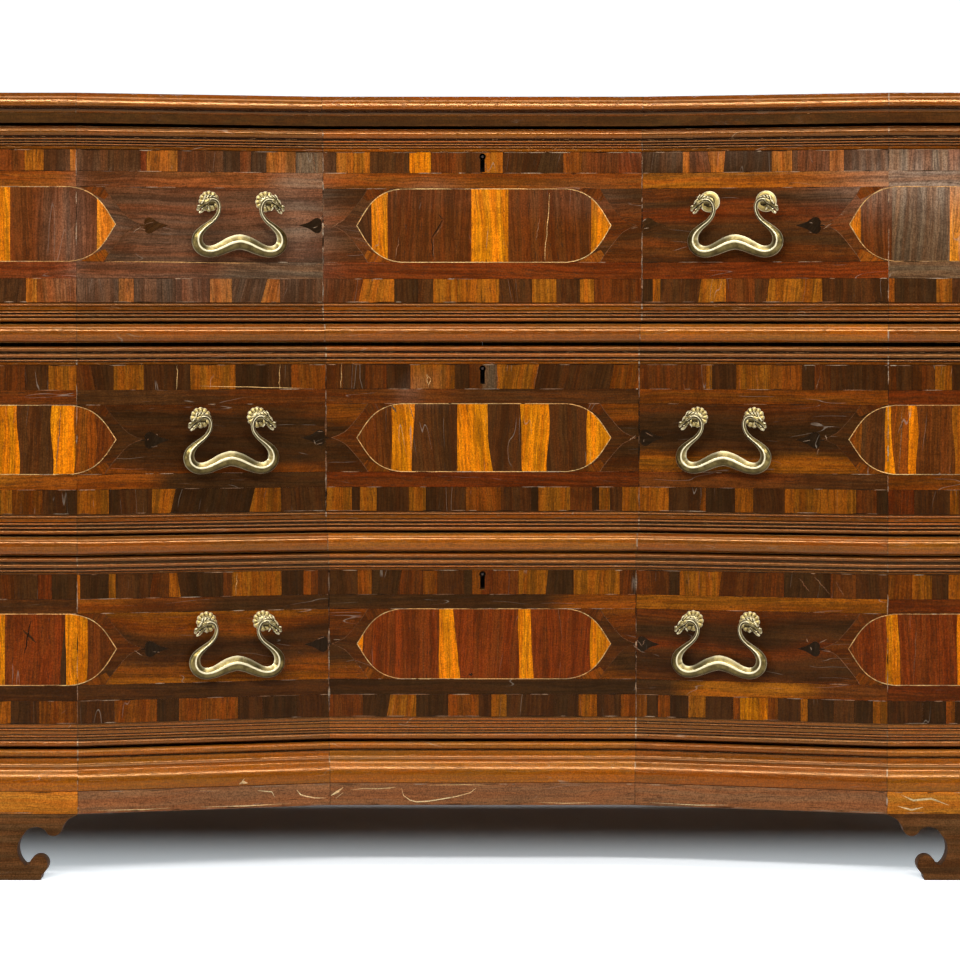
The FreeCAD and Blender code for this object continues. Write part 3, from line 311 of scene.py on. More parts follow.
def figured(finish, place, tint, run, figure, pale):
    """The figured wood, its bent grain, its open pores and how high it stands."""
    sway = finish.node("TexNoise", None, {"Vector": run * SWAY_STRETCH, "Scale": 1.0}, "Color")
    bent = run + (sway - 0.5) * SWAY
    band, streak, fibre = (finish.cloud(bent, *FIGURE[key]) for key in ("band", "streak", "fibre"))
    mottle = finish.cloud(run, *FIGURE["mottle"])
    grit = finish.cloud(place, *FIGURE["grit"])
    pores = finish.ease(finish.cloud(bent, *FIGURE["pore"]), 0.58, 0.68)
    reach = figure * 0.27
    dark = finish.ease(band * 0.8 + streak * 0.9 + fibre * 0.55 + mottle * 0.3, 1.27 - reach, 1.27 + reach)
    lit = scaled(tint, (pale, pale * 0.97, pale * 0.9))
    shaded = scaled(tint, tuple(1 + (part - 1) * min(1, figure) for part in SHADED))
    wooden = finish.blend(dark, lit, shaded)
    warmth = finish.cloud(bent + (11, 3, 7), *FIGURE["warmth"])
    wooden = wooden * finish.blend(finish.ease(warmth, 0.35, 0.65), WARM, COOL)
    wooden = wooden * finish.blend(finish.ease(grit, 0.3, 0.7), GRIT_DARK, GRIT_LIT)
    wooden = finish.blend(pores * 0.6, wooden, PORE_BROWN)
    return wooden, bent, pores, fibre * 0.3 - pores * 0.8 + mottle * 1.5


def wood(name, tone=None, grain="x", coat=0.03, gloss=0.16, dull=0.28, figure=1.0, wear=0.6, pale=1.3,
         worm=False):
    """Polished or raw wood. With no tone it reads the tone, grain, rim, and soil with painted shade, that its
    leaves carry;
    with a tone it runs its grain along one axis of the piece."""
    finish = Finish(name)
    place = finish.own_place()
    tint, run, rim, soil = carried(finish, place, tone, grain)
    wooden, bent, pores, height = figured(finish, place, tint, run, figure, pale)
    veil = finish.cloud(place, *FIGURE["veil"])
    hair = abs(finish.cloud(bent + (5, 9, 3), *FIGURE["hair"]) - 0.5)
    check = finish.ease(hair, 0.001, 0.004, 1, 0) * finish.ease(veil, 0.54, 0.62)
    wooden = finish.blend(check * (wear * 0.5), wooden, CHALK)
    if worm:
        spots = finish.node("TexVoronoi", None, {"Vector": place, "Scale": WORM_HOLES}, "Distance")
        wooden = finish.blend(finish.ease(spots, 0.022, 0.04, 1, 0), wooden, DIRT_AND_SHADE)
    if rim is not None:
        patch = finish.cloud(place, *FIGURE["patch"])
        wooden = finish.blend(finish.ease(rim, 0.3, 0.9) * 0.6, wooden, PORE_BROWN)
        chalk = finish.ease(rim, 0.15, 0.75) * finish.ease(patch, 0.52, 0.6)
        wooden = finish.blend(chalk * wear, wooden, CHALK)
        # Soil and painted shade: the quirks of the mouldings are darkened towards black.
        wooden = finish.blend(soil * 0.93, wooden, DIRT_AND_SHADE)
    sockets = {"Base Color": wooden, "Roughness": dull + 0.16 * veil + 0.2 * pores, "Coat Weight": coat,
               "Coat Roughness": COAT_ROUGHNESS, "Specular IOR Level": gloss, "Specular Tint": VARNISH}
    return finish.done(sockets, height + veil * 2.0, WOOD_RELIEF)


# %% [markdown]
# Each tone has a letter, so that a whole front can be written down in lines of text: k black, d dark, m
# middle, r red, o orange, a amber, y yellow sapwood and g grey are veneers; n, p, t, w and u are mouldings
# from light walnut to worn plinth; s is boxwood, b bog oak, c raw wood in a chip, f and q are cracks.

# %% Tones and the finishes that read them
TONES = {
    "k": colour("341e0c"), "d": colour("42240e"), "m": colour("572a0c"), "r": colour("62290a"),
    "o": colour("733a0c"), "a": colour("884c0e"), "y": colour("c06f08"), "g": colour("5a4430"),
    "n": colour("743c0a"), "p": colour("5e3109"), "q": colour("5c3418"), "t": colour("84480a"),
    "f": colour("6e4c36"), "s": colour("c29a66"), "b": colour("150f0a"), "u": colour("7c5236"),
    "w": colour("a8661f"), "c": colour("d6c096"),
}
veneer = wood("veneer", figure=0.65, wear=0.75)
moulding_wood = wood("moulding_wood", gloss=0.8, dull=0.05, figure=0.3, wear=0.75, pale=1.1, worm=True)
base_wood = wood("base_wood", gloss=0.7, dull=0.1, figure=0.3, wear=0.75, pale=1.08, worm=True)
plinth_wood = wood("plinth_wood", coat=0.0, gloss=0.2, dull=0.5, figure=0.35, wear=0.9, pale=1.1)
print("finishes", [material.name for material in bpy.data.materials])

# %% [markdown]
# ## Stock: leaves and lengths in one mesh
# A crossband is hundreds of small leaves. Each is a thin closed plate of its own, but they are glued to one
# ground, so they are gathered into one object. The stock keeps, for each point, the tone of its leaf, its
# place along and across the grain, how near it lies to the leaf's rim, and how much soil and painted shade
# darken it there.

# %% The stock and the pieces made from it
WOOD_CREASE = 30


class Stock:
    """Closed plates and lengths of wood gathered for one piece."""

    def __init__(self):
        self.points, self.faces, self.tints, self.grains, self.rims, self.soils_and_shades = [], [], [], [], [], []

    def add(self, points, faces, tints, grains, rims, soils_and_shades=None):
        """Gathers one more plate or length."""
        first = len(self.points)
        self.points += [tuple(point) for point in points]
        self.faces += [[first + index for index in face] for face in faces]
        self.tints += tints
        self.grains += grains
        self.rims += rims
        self.soils_and_shades += soils_and_shades or [0.0] * len(points)

    def piece(self, name, finish, body, slot, replaced=()):
        """Makes one piece of all that was gathered."""
        mesh = bpy.data.meshes.new(name)
        mesh.from_pydata([[part * MM for part in point] for point in self.points], [], self.faces)
        tint = mesh.attributes.new("tint", "FLOAT_COLOR", "POINT")
        tint.data.foreach_set("color", [part for shade in self.tints for part in (*shade, 1)])
        grain = mesh.attributes.new("grain", "FLOAT_VECTOR", "POINT")
        grain.data.foreach_set("vector", [part for run in self.grains for part in run])
        for key, values in (("rim", self.rims), ("soil", self.soils_and_shades)):
            mesh.attributes.new(key, "FLOAT", "POINT").data.foreach_set("value", values)
        outward(mesh)
        smoothed(mesh, WOOD_CREASE)
        return shown(name, mesh, finish, body, slot, replaced)


def outward(mesh):
    """Turns every face of the closed solids outward."""
    solid = bmesh.new()
    solid.from_mesh(mesh)
    bmesh.ops.recalc_face_normals(solid, faces=solid.faces[:])
    solid.to_mesh(mesh)
    solid.free()


def smoothed(mesh, crease):
    """Shades a mesh smooth, apart from edges that turn by more than crease, in degrees."""
    mesh.polygons.foreach_set("use_smooth", [True] * len(mesh.polygons))
    mesh.set_sharp_from_angle(angle=math.radians(crease))


def linked(name, data):
    """A new object in the scene."""
    made = bpy.data.objects.new(name, data)
    bpy.context.scene.collection.objects.link(made)
    return made


def shown(name, mesh, finish, body, slot, replaced=()):
    """Puts a mesh in the scene as a piece that rides on a body and may stand for CAD nodes."""
    piece = linked(name, mesh)
    mesh.materials.clear()
    mesh.materials.append(finish)
    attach(piece, body)
    if replaced:
        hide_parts(*replaced)
    print(f"{name}: {len(mesh.polygons)} faces on {body}")
    return piece


print("a stock gathers", list(vars(Stock())))

# %% [markdown]
# ## Mouldings and reeds
# A moulding is one section drawn along the broken front. It is worked in straight lengths that meet in
# mitres at the folds, and each length is a separate stick with its own grain. Planes leave a faint wave in
# it, which is what makes the long highlights live.

# %% The line that a moulding follows
def path_ends(fold, end, rear):
    """The places along a moulding's line, each a function of the distance off the faces."""
    def corner(number):
        return lambda outset: Vector(front_corners(fold, outset)[number])

    def on_corner(hand):
        return lambda outset: Vector((hand * end, FACE + (end - BLOCK_END) * CORNER_SLOPE
                                      - outset * CORNER_SECANT))

    def at_rear(hand):
        return lambda outset: Vector((hand * (SIDE + outset), rear))

    if rear is None:
        return [on_corner(-1)] + [corner(number) for number in range(1, 7)] + [on_corner(1)]
    return [at_rear(-1)] + [corner(number) for number in range(8)] + [at_rear(1)]


print("a drawer's moulding has", len(path_ends(FOLDS["upper"], DRAWER_END, None)) - 1, "lengths")

# %% Sections: half rounds, and strips built up from them
# How far off the face the bed under the reeds lies, and the back of the strips.
BED, STRIP_BACK = -0.8, -1.45
QUIRK = 0.22
REED_STEPS = 10
SAME_POINT = 0.01


def rounded(foot, head, stand, bed, steps=8):
    """A half round from one height to another, standing off its bed."""
    turns = [math.pi * step / steps for step in range(steps + 1)]
    return [(bed + (stand - bed) * math.sin(turn), (foot + head) / 2 - (head - foot) / 2 * math.cos(turn))
            for turn in turns]


def strip(foot, parts, bed, back):
    """The section of a moulded strip, from its foot up. Each part is (form, height, how far it stands)."""
    outline = [(back, foot)]
    up = foot
    for form, height, stand in parts:
        if form == "flat":
            outline += [(stand, up), (stand, up + height)]
        else:
            outline += rounded(up + QUIRK, up + height - QUIRK, stand, bed, REED_STEPS)
        up += height
    outline.append((back, up))
    return [point for number, point in enumerate(outline)
            if number == 0 or math.dist(point, outline[number - 1]) > SAME_POINT]


# %% Where soil and painted shade settle
STRAIGHTEDGE = 2.2
CLEAN_DEPTH, SOIL_AND_SHADE_DEPTH = 0.1, 0.6


def depths(profile):
    """How deep each point of a section lies under a short straightedge laid across it."""
    found = []
    for outset, up in profile:
        below = [point for point in profile if up - STRAIGHTEDGE <= point[1] <= up]
        above = [point for point in profile if up <= point[1] <= up + STRAIGHTEDGE]
        edges = [low[0] + (high[0] - low[0]) * (up - low[1]) / (high[1] - low[1])
                 for low in below for high in above if high[1] - low[1] > SAME_POINT]
        found.append(max([edge - outset for edge in edges] + [0]))
    return found


pair_of_reeds = strip(0, [("reed", 3.0, 1.4), ("reed", 3.0, 1.4)], BED, STRIP_BACK)
print("the quirk between two reeds is", round(max(depths(pair_of_reeds)), 2), "mm deep")

# %% Lengths that meet in mitres
STEP = 14
HAND, WAVE_PACE = 0.12, 0.02
MITRE_RIM = 1.3


def varied(tone, rng, spread=0.12):
    """The tone of one leaf, a little lighter or darker than its letter says."""
    share = 1 + rng.uniform(-spread, spread)
    return tuple(part * share for part in TONES[tone])


def lengths(stock, profile, fold, tones, rng, end=DRAWER_END, rear=None):
    """Runs a section, a list of (off the face, up), round the front in mitred lengths. Soil and painted shade
    darken whatever a straightedge can't touch. The tones are one letter for each length."""
    places = path_ends(fold, end, rear)
    girth = [0.0]
    for before, after in zip(profile, profile[1:]):
        girth.append(girth[-1] + math.dist(before, after))
    # Soil and painted shade: the deeper a point lies under the straightedge, the darker it is painted.
    soiled_and_shaded = [min(max((depth - CLEAN_DEPTH) / SOIL_AND_SHADE_DEPTH, 0), 1) for depth in depths(profile)]
    count = len(profile)
    for number, (start, stop) in enumerate(zip(places, places[1:])):
        reach = (stop(0) - start(0)).length
        steps = max(2, math.ceil(reach / STEP))
        shares = [step / steps for step in range(steps + 1)]
        shares = [0, MITRE_RIM / reach] + shares[1:-1] + [1 - MITRE_RIM / reach, 1]
        points, grains, faces = [], [], []
        along, seed = rng.uniform(0, 900), rng.uniform(0, 90)
        for share in shares:
            wave = noise.noise(Vector((along + reach * share * WAVE_PACE, seed, 0))) * HAND
            for (outset, up), around in zip(profile, girth):
                flat = start(outset + wave).lerp(stop(outset + wave), share)
                points.append((flat.x, flat.y, up))
                grains.append((along + reach * share, around, seed))
        last = len(shares) - 1
        for step in range(last):
            for index in range(count):
                a, b = step * count + index, step * count + (index + 1) % count
                faces.append([a, b, b + count, a + count])
        faces += [list(range(count)), list(range(last * count, (last + 1) * count))]
        tone = varied(tones[number % len(tones)], rng, 0.08)
        rims = [1.0 if index < count or index >= last * count else 0.0 for index in range(len(points))]
        stock.add(points, faces, [tone] * len(points), grains, rims, soiled_and_shaded * len(shares))


# %% [markdown]
# The reeded strips are glued on above and below the marquetry. No two drawers match: each strip is listed
# from its foot up, as a run of flats, fine reeds and one larger bead next to the drawer's edge. The quirks
# between them are deep and darkened to black, partly by two centuries of wax and soil and partly as painted
# shade.

# %% The reeded strips of each drawer
# Each part is its form, its height and how far it stands off the face.
REEDS = {
    ("upper", "head"): [("flat", 0.7, BED), ("flat", 2.9, 0.25), ("flat", 0.4, BED), ("reed", 2.7, 1.1),
                        ("reed", 2.8, 1.4), ("reed", 2.8, 1.3), ("flat", 1.6, BED), ("bead", 9.4, 2.4),
                        ("flat", 1.0, BED)],
    ("upper", "foot"): [("bead", 4.9, 2.2), ("reed", 3.6, 1.5), ("reed", 3.0, 1.4), ("flat", 0.7, BED),
                        ("flat", 3.8, 0.3), ("reed", 3.6, 1.5), ("flat", 0.8, BED)],
    ("middle", "head"): [("flat", 0.6, BED), ("flat", 2.3, 0.4), ("flat", 0.4, BED), ("reed", 3.0, 1.4),
                         ("flat", 0.6, BED), ("reed", 5.4, 1.9), ("flat", 1.3, BED), ("bead", 5.9, 2.4)],
    ("middle", "foot"): [("bead", 5.2, 2.3), ("reed", 3.4, 1.5), ("flat", 0.7, BED), ("reed", 3.4, 1.5),
                         ("flat", 0.6, BED), ("flat", 3.6, 0.3), ("reed", 3.3, 1.3), ("flat", 1.0, BED)],
    ("lower", "head"): [("flat", 0.6, BED), ("flat", 1.6, 0.3), ("reed", 3.2, 1.4), ("flat", 0.6, BED),
                        ("reed", 5.2, 1.8), ("flat", 1.3, BED), ("bead", 5.5, 2.4)],
    ("lower", "foot"): [("bead", 7.2, 2.4), ("flat", 0.8, BED), ("flat", 1.4, 0.9), ("reed", 3.4, 1.5),
                        ("flat", 0.6, BED), ("flat", 3.2, 0.6), ("reed", 3.1, 1.4), ("flat", 0.8, BED),
                        ("flat", 2.5, 0.6), ("flat", 0.8, BED)],
}
SKIN = {tier: [corner.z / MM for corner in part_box(tier + "_marquetry")] for tier in TIERS}
EDGE = {tier: [corner.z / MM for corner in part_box(tier + "_front")] for tier in TIERS}

for tier in TIERS:
    rng = random.Random(tier + " reeds")
    stock = Stock()
    for place, foot, tones in (("foot", EDGE[tier][0], "pnpnpnn"), ("head", SKIN[tier][1], "pppnppp")):
        lengths(stock, strip(foot, REEDS[tier, place], BED, STRIP_BACK), FOLDS[tier], tones, rng)
    stock.piece(tier + "_reeds", moulding_wood, tier + "_drawer", "moulding_wood", [tier + "_reeding"])

# %% [markdown]
# The carcass has four runs of moulding: a half-round bead on the front edge of each dust board, the nosed
# edge of the top with a hollow under it, the base, which swells from a bead through a hollow to a roll, and
# the flat plinth under that. The beads run across the front; the other three go round the front and both sides.

# %% The sections of the carcass mouldings
def bowed(start, end, bow, steps):
    """An arc from start to end that stands off its chord by bow, drawn as a shallow sine."""
    (x0, z0), (x1, z1) = start, end
    reach = math.dist(start, end)
    across, up = (z1 - z0) / reach, -(x1 - x0) / reach
    points = []
    for step in range(1, steps):
        share = step / steps
        lift = bow * math.sin(math.pi * share)
        points.append((x0 + (x1 - x0) * share + across * lift, z0 + (z1 - z0) * share + up * lift))
    return [start] + points + [end]


TOP_FOOT, TOP_HEAD = [corner.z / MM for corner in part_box("top_edge_moulding")]
BASE_FOOT, BASE_HEAD = [corner.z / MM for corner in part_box("base_moulding")]
PLINTH_FOOT, PLINTH_HEAD = [corner.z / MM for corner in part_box("base_plinth")]
TOP_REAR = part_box("top_edge_moulding")[1].y / MM
NOSE, EDGING = 13.8, 26

top_profile = (
    [(-EDGING, TOP_FOOT), (2, TOP_FOOT), (2, TOP_FOOT + 0.7)]
    + bowed((2.6, TOP_FOOT + 0.8), (7.4, TOP_FOOT + 4.6), -1.0, 6)
    + [(9.4, TOP_FOOT + 4.9), (9.4, TOP_FOOT + 5.7), (11.2, TOP_FOOT + 5.9)]
    + bowed((12.2, TOP_FOOT + 6.2), (NOSE, TOP_FOOT + 9.2), 0.8, 6)
    + bowed((NOSE - 0.1, TOP_FOOT + 10), (NOSE - 6.8, TOP_HEAD), 1.7, 10)
    + [(-EDGING, TOP_HEAD)]
)
base_profile = (
    [(-10, BASE_FOOT), (9.6, BASE_FOOT), (10.8, BASE_FOOT + 0.5)]
    + bowed((11.2, BASE_FOOT + 1.2), (7.6, BASE_FOOT + 21.6), 2.2, 10)
    + bowed((7.3, BASE_FOOT + 22.4), (1.6, BASE_HEAD - 10), -2.0, 10)
    + [(0.9, BASE_HEAD - 9.4), (0.5, BASE_HEAD - 8.3)]
    + rounded(BASE_HEAD - 8, BASE_HEAD - 0.4, 4, 0.8)
    + [(0.4, BASE_HEAD), (-10, BASE_HEAD)]
)
plinth_profile = (
    [(-12, PLINTH_FOOT), (10.9, PLINTH_FOOT), (11.7, PLINTH_FOOT + 0.5), (11.9, PLINTH_FOOT + 1.6),
     (11.9, PLINTH_HEAD - 1.2), (11.4, PLINTH_HEAD), (-12, PLINTH_HEAD)]
)

# %% Run the carcass mouldings
DUST_BEAD, DUST_BACK, DUST_FLAT, DUST_STEPS = 6.5, -0.2, 0.3, 14

for name, profile, fold, rear, tones, node, finish in (
        ("top_edge", top_profile, "top", TOP_REAR, "nnnnnnnnn", "top_edge_moulding", moulding_wood),
        ("base_run", base_profile, "base", REAR, "tttttnttt", "base_moulding", base_wood),
        ("plinth_run", plinth_profile, "base", REAR, "wawuuuwaw", "base_plinth", plinth_wood)):
    stock = Stock()
    lengths(stock, profile, FOLDS[fold], tones, random.Random(name), rear=rear)
    stock.piece(name, finish, "carcass", "moulding_wood", [node])

for level, tones in (("upper", "pnnntnn"), ("lower", "nnntntn")):
    foot, head = [corner.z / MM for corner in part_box("divider_bead_" + level)]
    stock = Stock()
    half_round = rounded(foot + DUST_FLAT, head - DUST_FLAT, DUST_BEAD, 0, DUST_STEPS)
    lengths(stock, [(DUST_BACK, foot)] + half_round + [(DUST_BACK, head)], FOLDS["divider_" + level], tones,
            random.Random(level), end=SIDE)
    stock.piece(f"dust_board_bead_{level}", moulding_wood, "carcass", "moulding_wood",
                ["divider_bead_" + level])

# %% [markdown]
# ## Leaves of veneer
# A leaf starts as an outline on the flat drawing of the front. Its rim is marked, it is cut where the front
# folds and where its tone changes, and then it is laid on the ground as a thin plate. Working flat and
# bending last keeps every joint tight round the folds.

# %% Cut and lay one leaf
# A leaf's worn rim is RIM wide; it stands GLUE deep in the ground and GAP short of its neighbour's joint.
RIM, GLUE, GAP = 1.0, -0.4, 0.14
GROUND_LIFT, COLLAR_LIFT, CORNER_LIFT, FIELD_LIFT = 0.14, 0.17, 0.19, 0.22
LINE_LIFT, WEAR_LIFT, SCUFF_LIFT = 0.26, 0.28, 0.29


def cut_along(sheet, axis, value):
    """Cuts a flat sheet right across, where one coordinate has a value."""
    normal = Vector((1, 0, 0)) if axis == "x" else Vector((0, 1, 0))
    geometry = sheet.verts[:] + sheet.edges[:] + sheet.faces[:]
    bmesh.ops.bisect_plane(sheet, geom=geometry, plane_co=normal * value, plane_no=normal, dist=0.01)


def cut_at_folds(sheet, folds=(OUTER_FOLD, BLOCK_END)):
    """Cuts a sheet wherever it crosses a fold of the front."""
    low = min(vert.co.x for vert in sheet.verts)
    high = max(vert.co.x for vert in sheet.verts)
    for value in [hand * fold for hand in (-1, 1) for fold in folds]:
        if low < value < high:
            cut_along(sheet, "x", value)


def lay(stock, sheet, place, tone, lift, angle, rng):
    """Gives a flat sheet its thickness and its place, and adds it to the stock."""
    sheet.verts.ensure_lookup_table()
    sheet.verts.index_update()
    rim = sheet.verts.layers.float["rim"]
    count = len(sheet.verts)
    flats = [(vert.co.x, vert.co.y) for vert in sheet.verts]
    points = [place(x, z, lift) for x, z in flats] + [place(x, z, GLUE) for x, z in flats]
    faces = [[vert.index for vert in face.verts] for face in sheet.faces]
    faces += [[count + index for index in reversed(face)] for face in faces]
    for edge in sheet.edges:
        if edge.is_boundary:
            a, b = (vert.index for vert in edge.verts)
            faces.append([a, b, b + count, a + count])
    turn, shift = math.radians(angle), (rng.uniform(0, 900), rng.uniform(0, 900), rng.uniform(0, 90))
    grains = [(x * math.cos(turn) + z * math.sin(turn) + shift[0],
               z * math.cos(turn) - x * math.sin(turn) + shift[1], shift[2]) for x, z in flats]
    tints = [tone(x, z) if callable(tone) else tone for x, z in flats]
    rims = [vert[rim] for vert in sheet.verts]
    stock.add(points, faces, tints * 2, grains * 2, rims * 2)
    sheet.free()


def leaf(stock, outline, place, tone, lift, angle, rng, cuts=(), worn=1.0):
    """One leaf cut to an outline of (across, up) corners; cuts are (axis, value) lines through it."""
    sheet = bmesh.new()
    rim = sheet.verts.layers.float.new("rim")
    sheet.faces.new([sheet.verts.new((x, z, 0)) for x, z in outline])
    bmesh.ops.inset_region(sheet, faces=sheet.faces[:], thickness=RIM, use_boundary=True,
                           use_even_offset=True)
    for vert in sheet.verts:
        vert[rim] = worn if any(edge.is_boundary for edge in vert.link_edges) else 0.0
    cut_at_folds(sheet)
    for axis, value in cuts:
        cut_along(sheet, axis, value)
    lay(stock, sheet, place, tone, lift, angle, rng)


def rectangle(left, right, foot, head):
    """The outline of a plain leaf that fills its place, but for the joints."""
    return [(left + GAP, foot + GAP), (right - GAP, foot + GAP), (right - GAP, head - GAP),
            (left + GAP, head - GAP)]


def lines(axis, start, end, step):
    """Cuts about a step apart, so that a tone can change across a leaf."""
    count = max(1, round((end - start) / step))
    return [(axis, start + (end - start) * number / count) for number in range(1, count)]


print("cuts in a leaf 40 mm long", lines("x", 0, 40, 12))

# %% [markdown]
# Stringing, cracks and scratches are lines rather than leaves: a ribbon of even or tapering width laid along
# a path. A long even one is inlaid boxwood; a short tapering one is an old crack filled with wax.

# %% Lay a ribbon
BLUNT = 0.15


def ribbon(stock, path, place, tone, width, rng, closed=False, taper=False, lift=LINE_LIFT):
    """A thin line of one tone along a path of (across, up) points."""
    sheet = bmesh.new()
    sheet.verts.layers.float.new("rim")
    count = len(path)
    pairs = []
    for number, (x, z) in enumerate(path):
        before = path[number - 1] if closed or number else path[0]
        after = path[(number + 1) % count] if closed or number < count - 1 else path[-1]
        way = Vector((after[0] - before[0], after[1] - before[1])).normalized()
        half = width / 2
        if taper:
            half *= max(BLUNT, math.sin(math.pi * number / (count - 1)) ** 0.5)
        pairs.append([sheet.verts.new((x - way.y * half, z + way.x * half, 0)),
                      sheet.verts.new((x + way.y * half, z - way.x * half, 0))])
    for number in range(count if closed else count - 1):
        (a, b), (c, d) = pairs[number], pairs[(number + 1) % count]
        sheet.faces.new([a, b, d, c])
    cut_at_folds(sheet, (OUTER_FOLD, BLOCK_END, FOLDS["upper"], FOLDS["middle"], FOLDS["lower"]))
    lay(stock, sheet, place, tone, lift, 0, rng)


def partway(start, end, share):
    """The point at a share of the way from start to end."""
    return start[0] + (end[0] - start[0]) * share, start[1] + (end[1] - start[1]) * share


def wandering(start, end, rng, sway, steps=8):
    """A path from start to end that strays a little, as a crack or a scratch does."""
    path = []
    for step in range(steps + 1):
        x, z = partway(start, end, step / steps)
        stray = rng.uniform(-sway, sway) if 0 < step < steps else 0
        path.append((x + stray, z + rng.uniform(-sway, sway) * 0.3))
    return path


print("a crack 20 mm long", wandering((0, 0), (20, 0), random.Random(1), 0.7, 2))

# %% [markdown]
# ## How the drawings are written down
# A band of veneer is written as a line of blocks from left to right: the letter of the tone and a width.
# `/5` after a width leans the joint at its right by 5 mm towards the head. `~` stands for blocks that nobody
# wrote down, which are then drawn by lot. A line is stretched a little so that it fills its plane exactly.

# %% Read a line of blocks
BLOCK_SCALE = 1.06
LOT_TONES = "dmadmomaok"
LOT_LEANS = [0, 0, 0, 4, -4]
NARROWEST, WIDEST = 14, 40


def read_blocks(text, start, end, rng):
    """Turns a written line into (tone, left, right, lean of the right joint)."""
    words = []
    for word in text.split():
        if word == "~":
            words.append((None, 0, 0))
        else:
            width, _, lean = word[1:].partition("/")
            words.append((word[0], float(width), float(lean or 0)))
    spare = end - start - sum(width for _, width, _ in words) * BLOCK_SCALE
    drawn = []
    for tone, width, lean in words:
        if tone is None:
            rest = spare
            while rest > NARROWEST:
                cut = min(rest, rng.uniform(NARROWEST, WIDEST))
                cut = rest if rest - cut < NARROWEST else cut
                drawn.append((rng.choice(LOT_TONES), cut / BLOCK_SCALE, rng.choice(LOT_LEANS)))
                rest -= cut
        else:
            drawn.append((tone, width, lean))
    scale = (end - start) / sum(width for _, width, _ in drawn)
    blocks, left = [], start
    for tone, width, lean in drawn:
        blocks.append((tone, left, left + width * scale, lean))
        left += width * scale
    return blocks


print("three blocks", read_blocks("d20 a30/5 m10", 0, 64, random.Random(1)))

# %% [markdown]
# The polish also reflects the lamps: here and there a whitish glare, most of it on the upper drawer, is
# painted into the veneer as a painted reflection. Each patch is a soft spot on the drawing that greys the
# tones under it.

# %% Painted reflections in the polish
# Each painted reflection is its place across and up, its half width and half height, and its strength.
REFLECTION_GREY = colour("8c7464")
STRONGEST_REFLECTION = 0.7
AGE = {"upper": 1.0, "middle": 0.68, "lower": 0.77}
PAINTED_REFLECTIONS = [
    (-300, 680, 120, 70, 0.16), (-195, 690, 32, 60, 0.30), (-56, 716, 30, 13, 0.3),
    (455, 735, 75, 34, 0.7), (560, 720, 70, 70, 0.45), (-425, 680, 10, 70, 0.25), (100, 714, 50, 16, 0.12),
    (250, 760, 100, 14, 0.16), (-80, 506, 12, 10, 0.25), (-340, 620, 100, 22, 0.16),
]


def mixed(first, second, share):
    """A tone between two tones."""
    return tuple(a + (b - a) * share for a, b in zip(first, second))


def with_painted_reflection(shade, x, z):
    """A tone greyed by the painted reflections of the lamps at one place."""
    veil = 0.0
    for across, up, wide, high, strength in PAINTED_REFLECTIONS:
        veil += strength * math.exp(-((x - across) / wide) ** 2 - ((z - up) / high) ** 2)
    return mixed(shade, REFLECTION_GREY, min(veil, STRONGEST_REFLECTION))


def aged(shade, tier):
    """Each drawer's polish has darkened by its own amount."""
    return tuple(part * AGE[tier] for part in shade)


print("amber on the middle drawer", aged(TONES["a"], "middle"))

# %% [markdown]
# ## Crossbanding
# Round each drawer front runs a band of short blocks with upright grain, cut from offcuts of every tone. It
# is laid plane by plane, and in the middle of the head band two blocks are notched for the keyhole.

# %% The crossbands, from the left corner to the right one
# The levels of a drawer: head of the foot band, foot and head of the fields, foot of the head band.
LEVELS = {
    "upper": (630.4, 648, 726.4, 743),
    "middle": (408.6, 424.8, 497.6, 513.2),
    "lower": (186.8, 203.3, 278.5, 293.8),
}
HEAD_BANDS = {
    "upper": ["~", "~ m29 a19 d26 a6", "d31 d31 r6 a30 m12 m16 d17 k16 m11 k15 a15 a14 g27",
              "d13 a17 a16 d38 y21 m34 d16", "a20 d36/6 k23 o19 m36 r23",
              "k40 a7 m19/-4 a15/2 k46 a20 d5 m15 m16 a14 d43", "g20 m23 g15 r12 ~", "~"],
    "middle": ["~", "~ d2 m18 m7 d23 a28", "m16/-5 d20 a30 d20 d26 a45 k33 d23 o35",
               "m17 d21 m21 d23 a43 d14 m13", "g14 a39/5 d73/5 o27",
               "m67 a6 d24 a34 o31 k12 m16 d31 d25", "m8 d16 m22 a17 d9 ~", "~"],
    "lower": ["~", "~ m15 d23 r14 k25", "a3 k28 a7 d35/4 m18 a10/-4 k17 k27 m9 a24 a26 k22 o8 m7 d11",
              "d8 d20 o14 k27/5 m23 o14 d26 k8 o10", "r10 m5 m20 a28/3 k26 a45 m13 d3",
              "m33 k10 a8 a11 a21/3 m28 m19/3 m15 k45 m25 d30", "o24 a20 d16 a12 ~", "~"],
}
FOOT_BANDS = {
    "upper": ["~", "~ d22/4 d7 a11 o39", "d41 a15 d27 k14 m34 a22 k32/7 a16 d43",
              "m37/6 a33 k23 d15 a24 a24 a17 d13/-5 d19 a24 d23 a14 m25 m22",
              "k11 a8 d40/3 a27 m29 d13/4 a55 d66", "o6 k41 a16 d24 ~", "~"],
    "middle": ["~", "~ a12 o30 d23 k11", "a31 k11 d31 a21/5 k78/6 a29 d45",
               "a26 k8 a17 d32 a17 k10 d30 o36 d30 k7 a32 m22 k7 a11 d12 a17",
               "a30 d32/3 o5 k29 a18 d31 a35 a35 m20 k11", "r26 d35 a9 ~", "~"],
    "lower": ["~", "~ a14 d28 o38", "d35 o41 k21 o57 d24 k33 d32",
              "m33 k25/4 a27 k31 o30 d12 a15 d48/4 k22 a18 d23 o15",
              "o11 k11 o12 k18 a17 d27 o7 y27 o10 d22 a7 k25 d20 k18 a14", "d35 k23 o9 ~", "~"],
}


# %% Blocks notched for the keyhole
KEYHOLE_DROP, KEYHOLE_LENGTH = 1.2, 20
KEYHOLE_RADIUS, SLOT_HALF = 3.6, 2.5
NOTCH_STEPS = 6


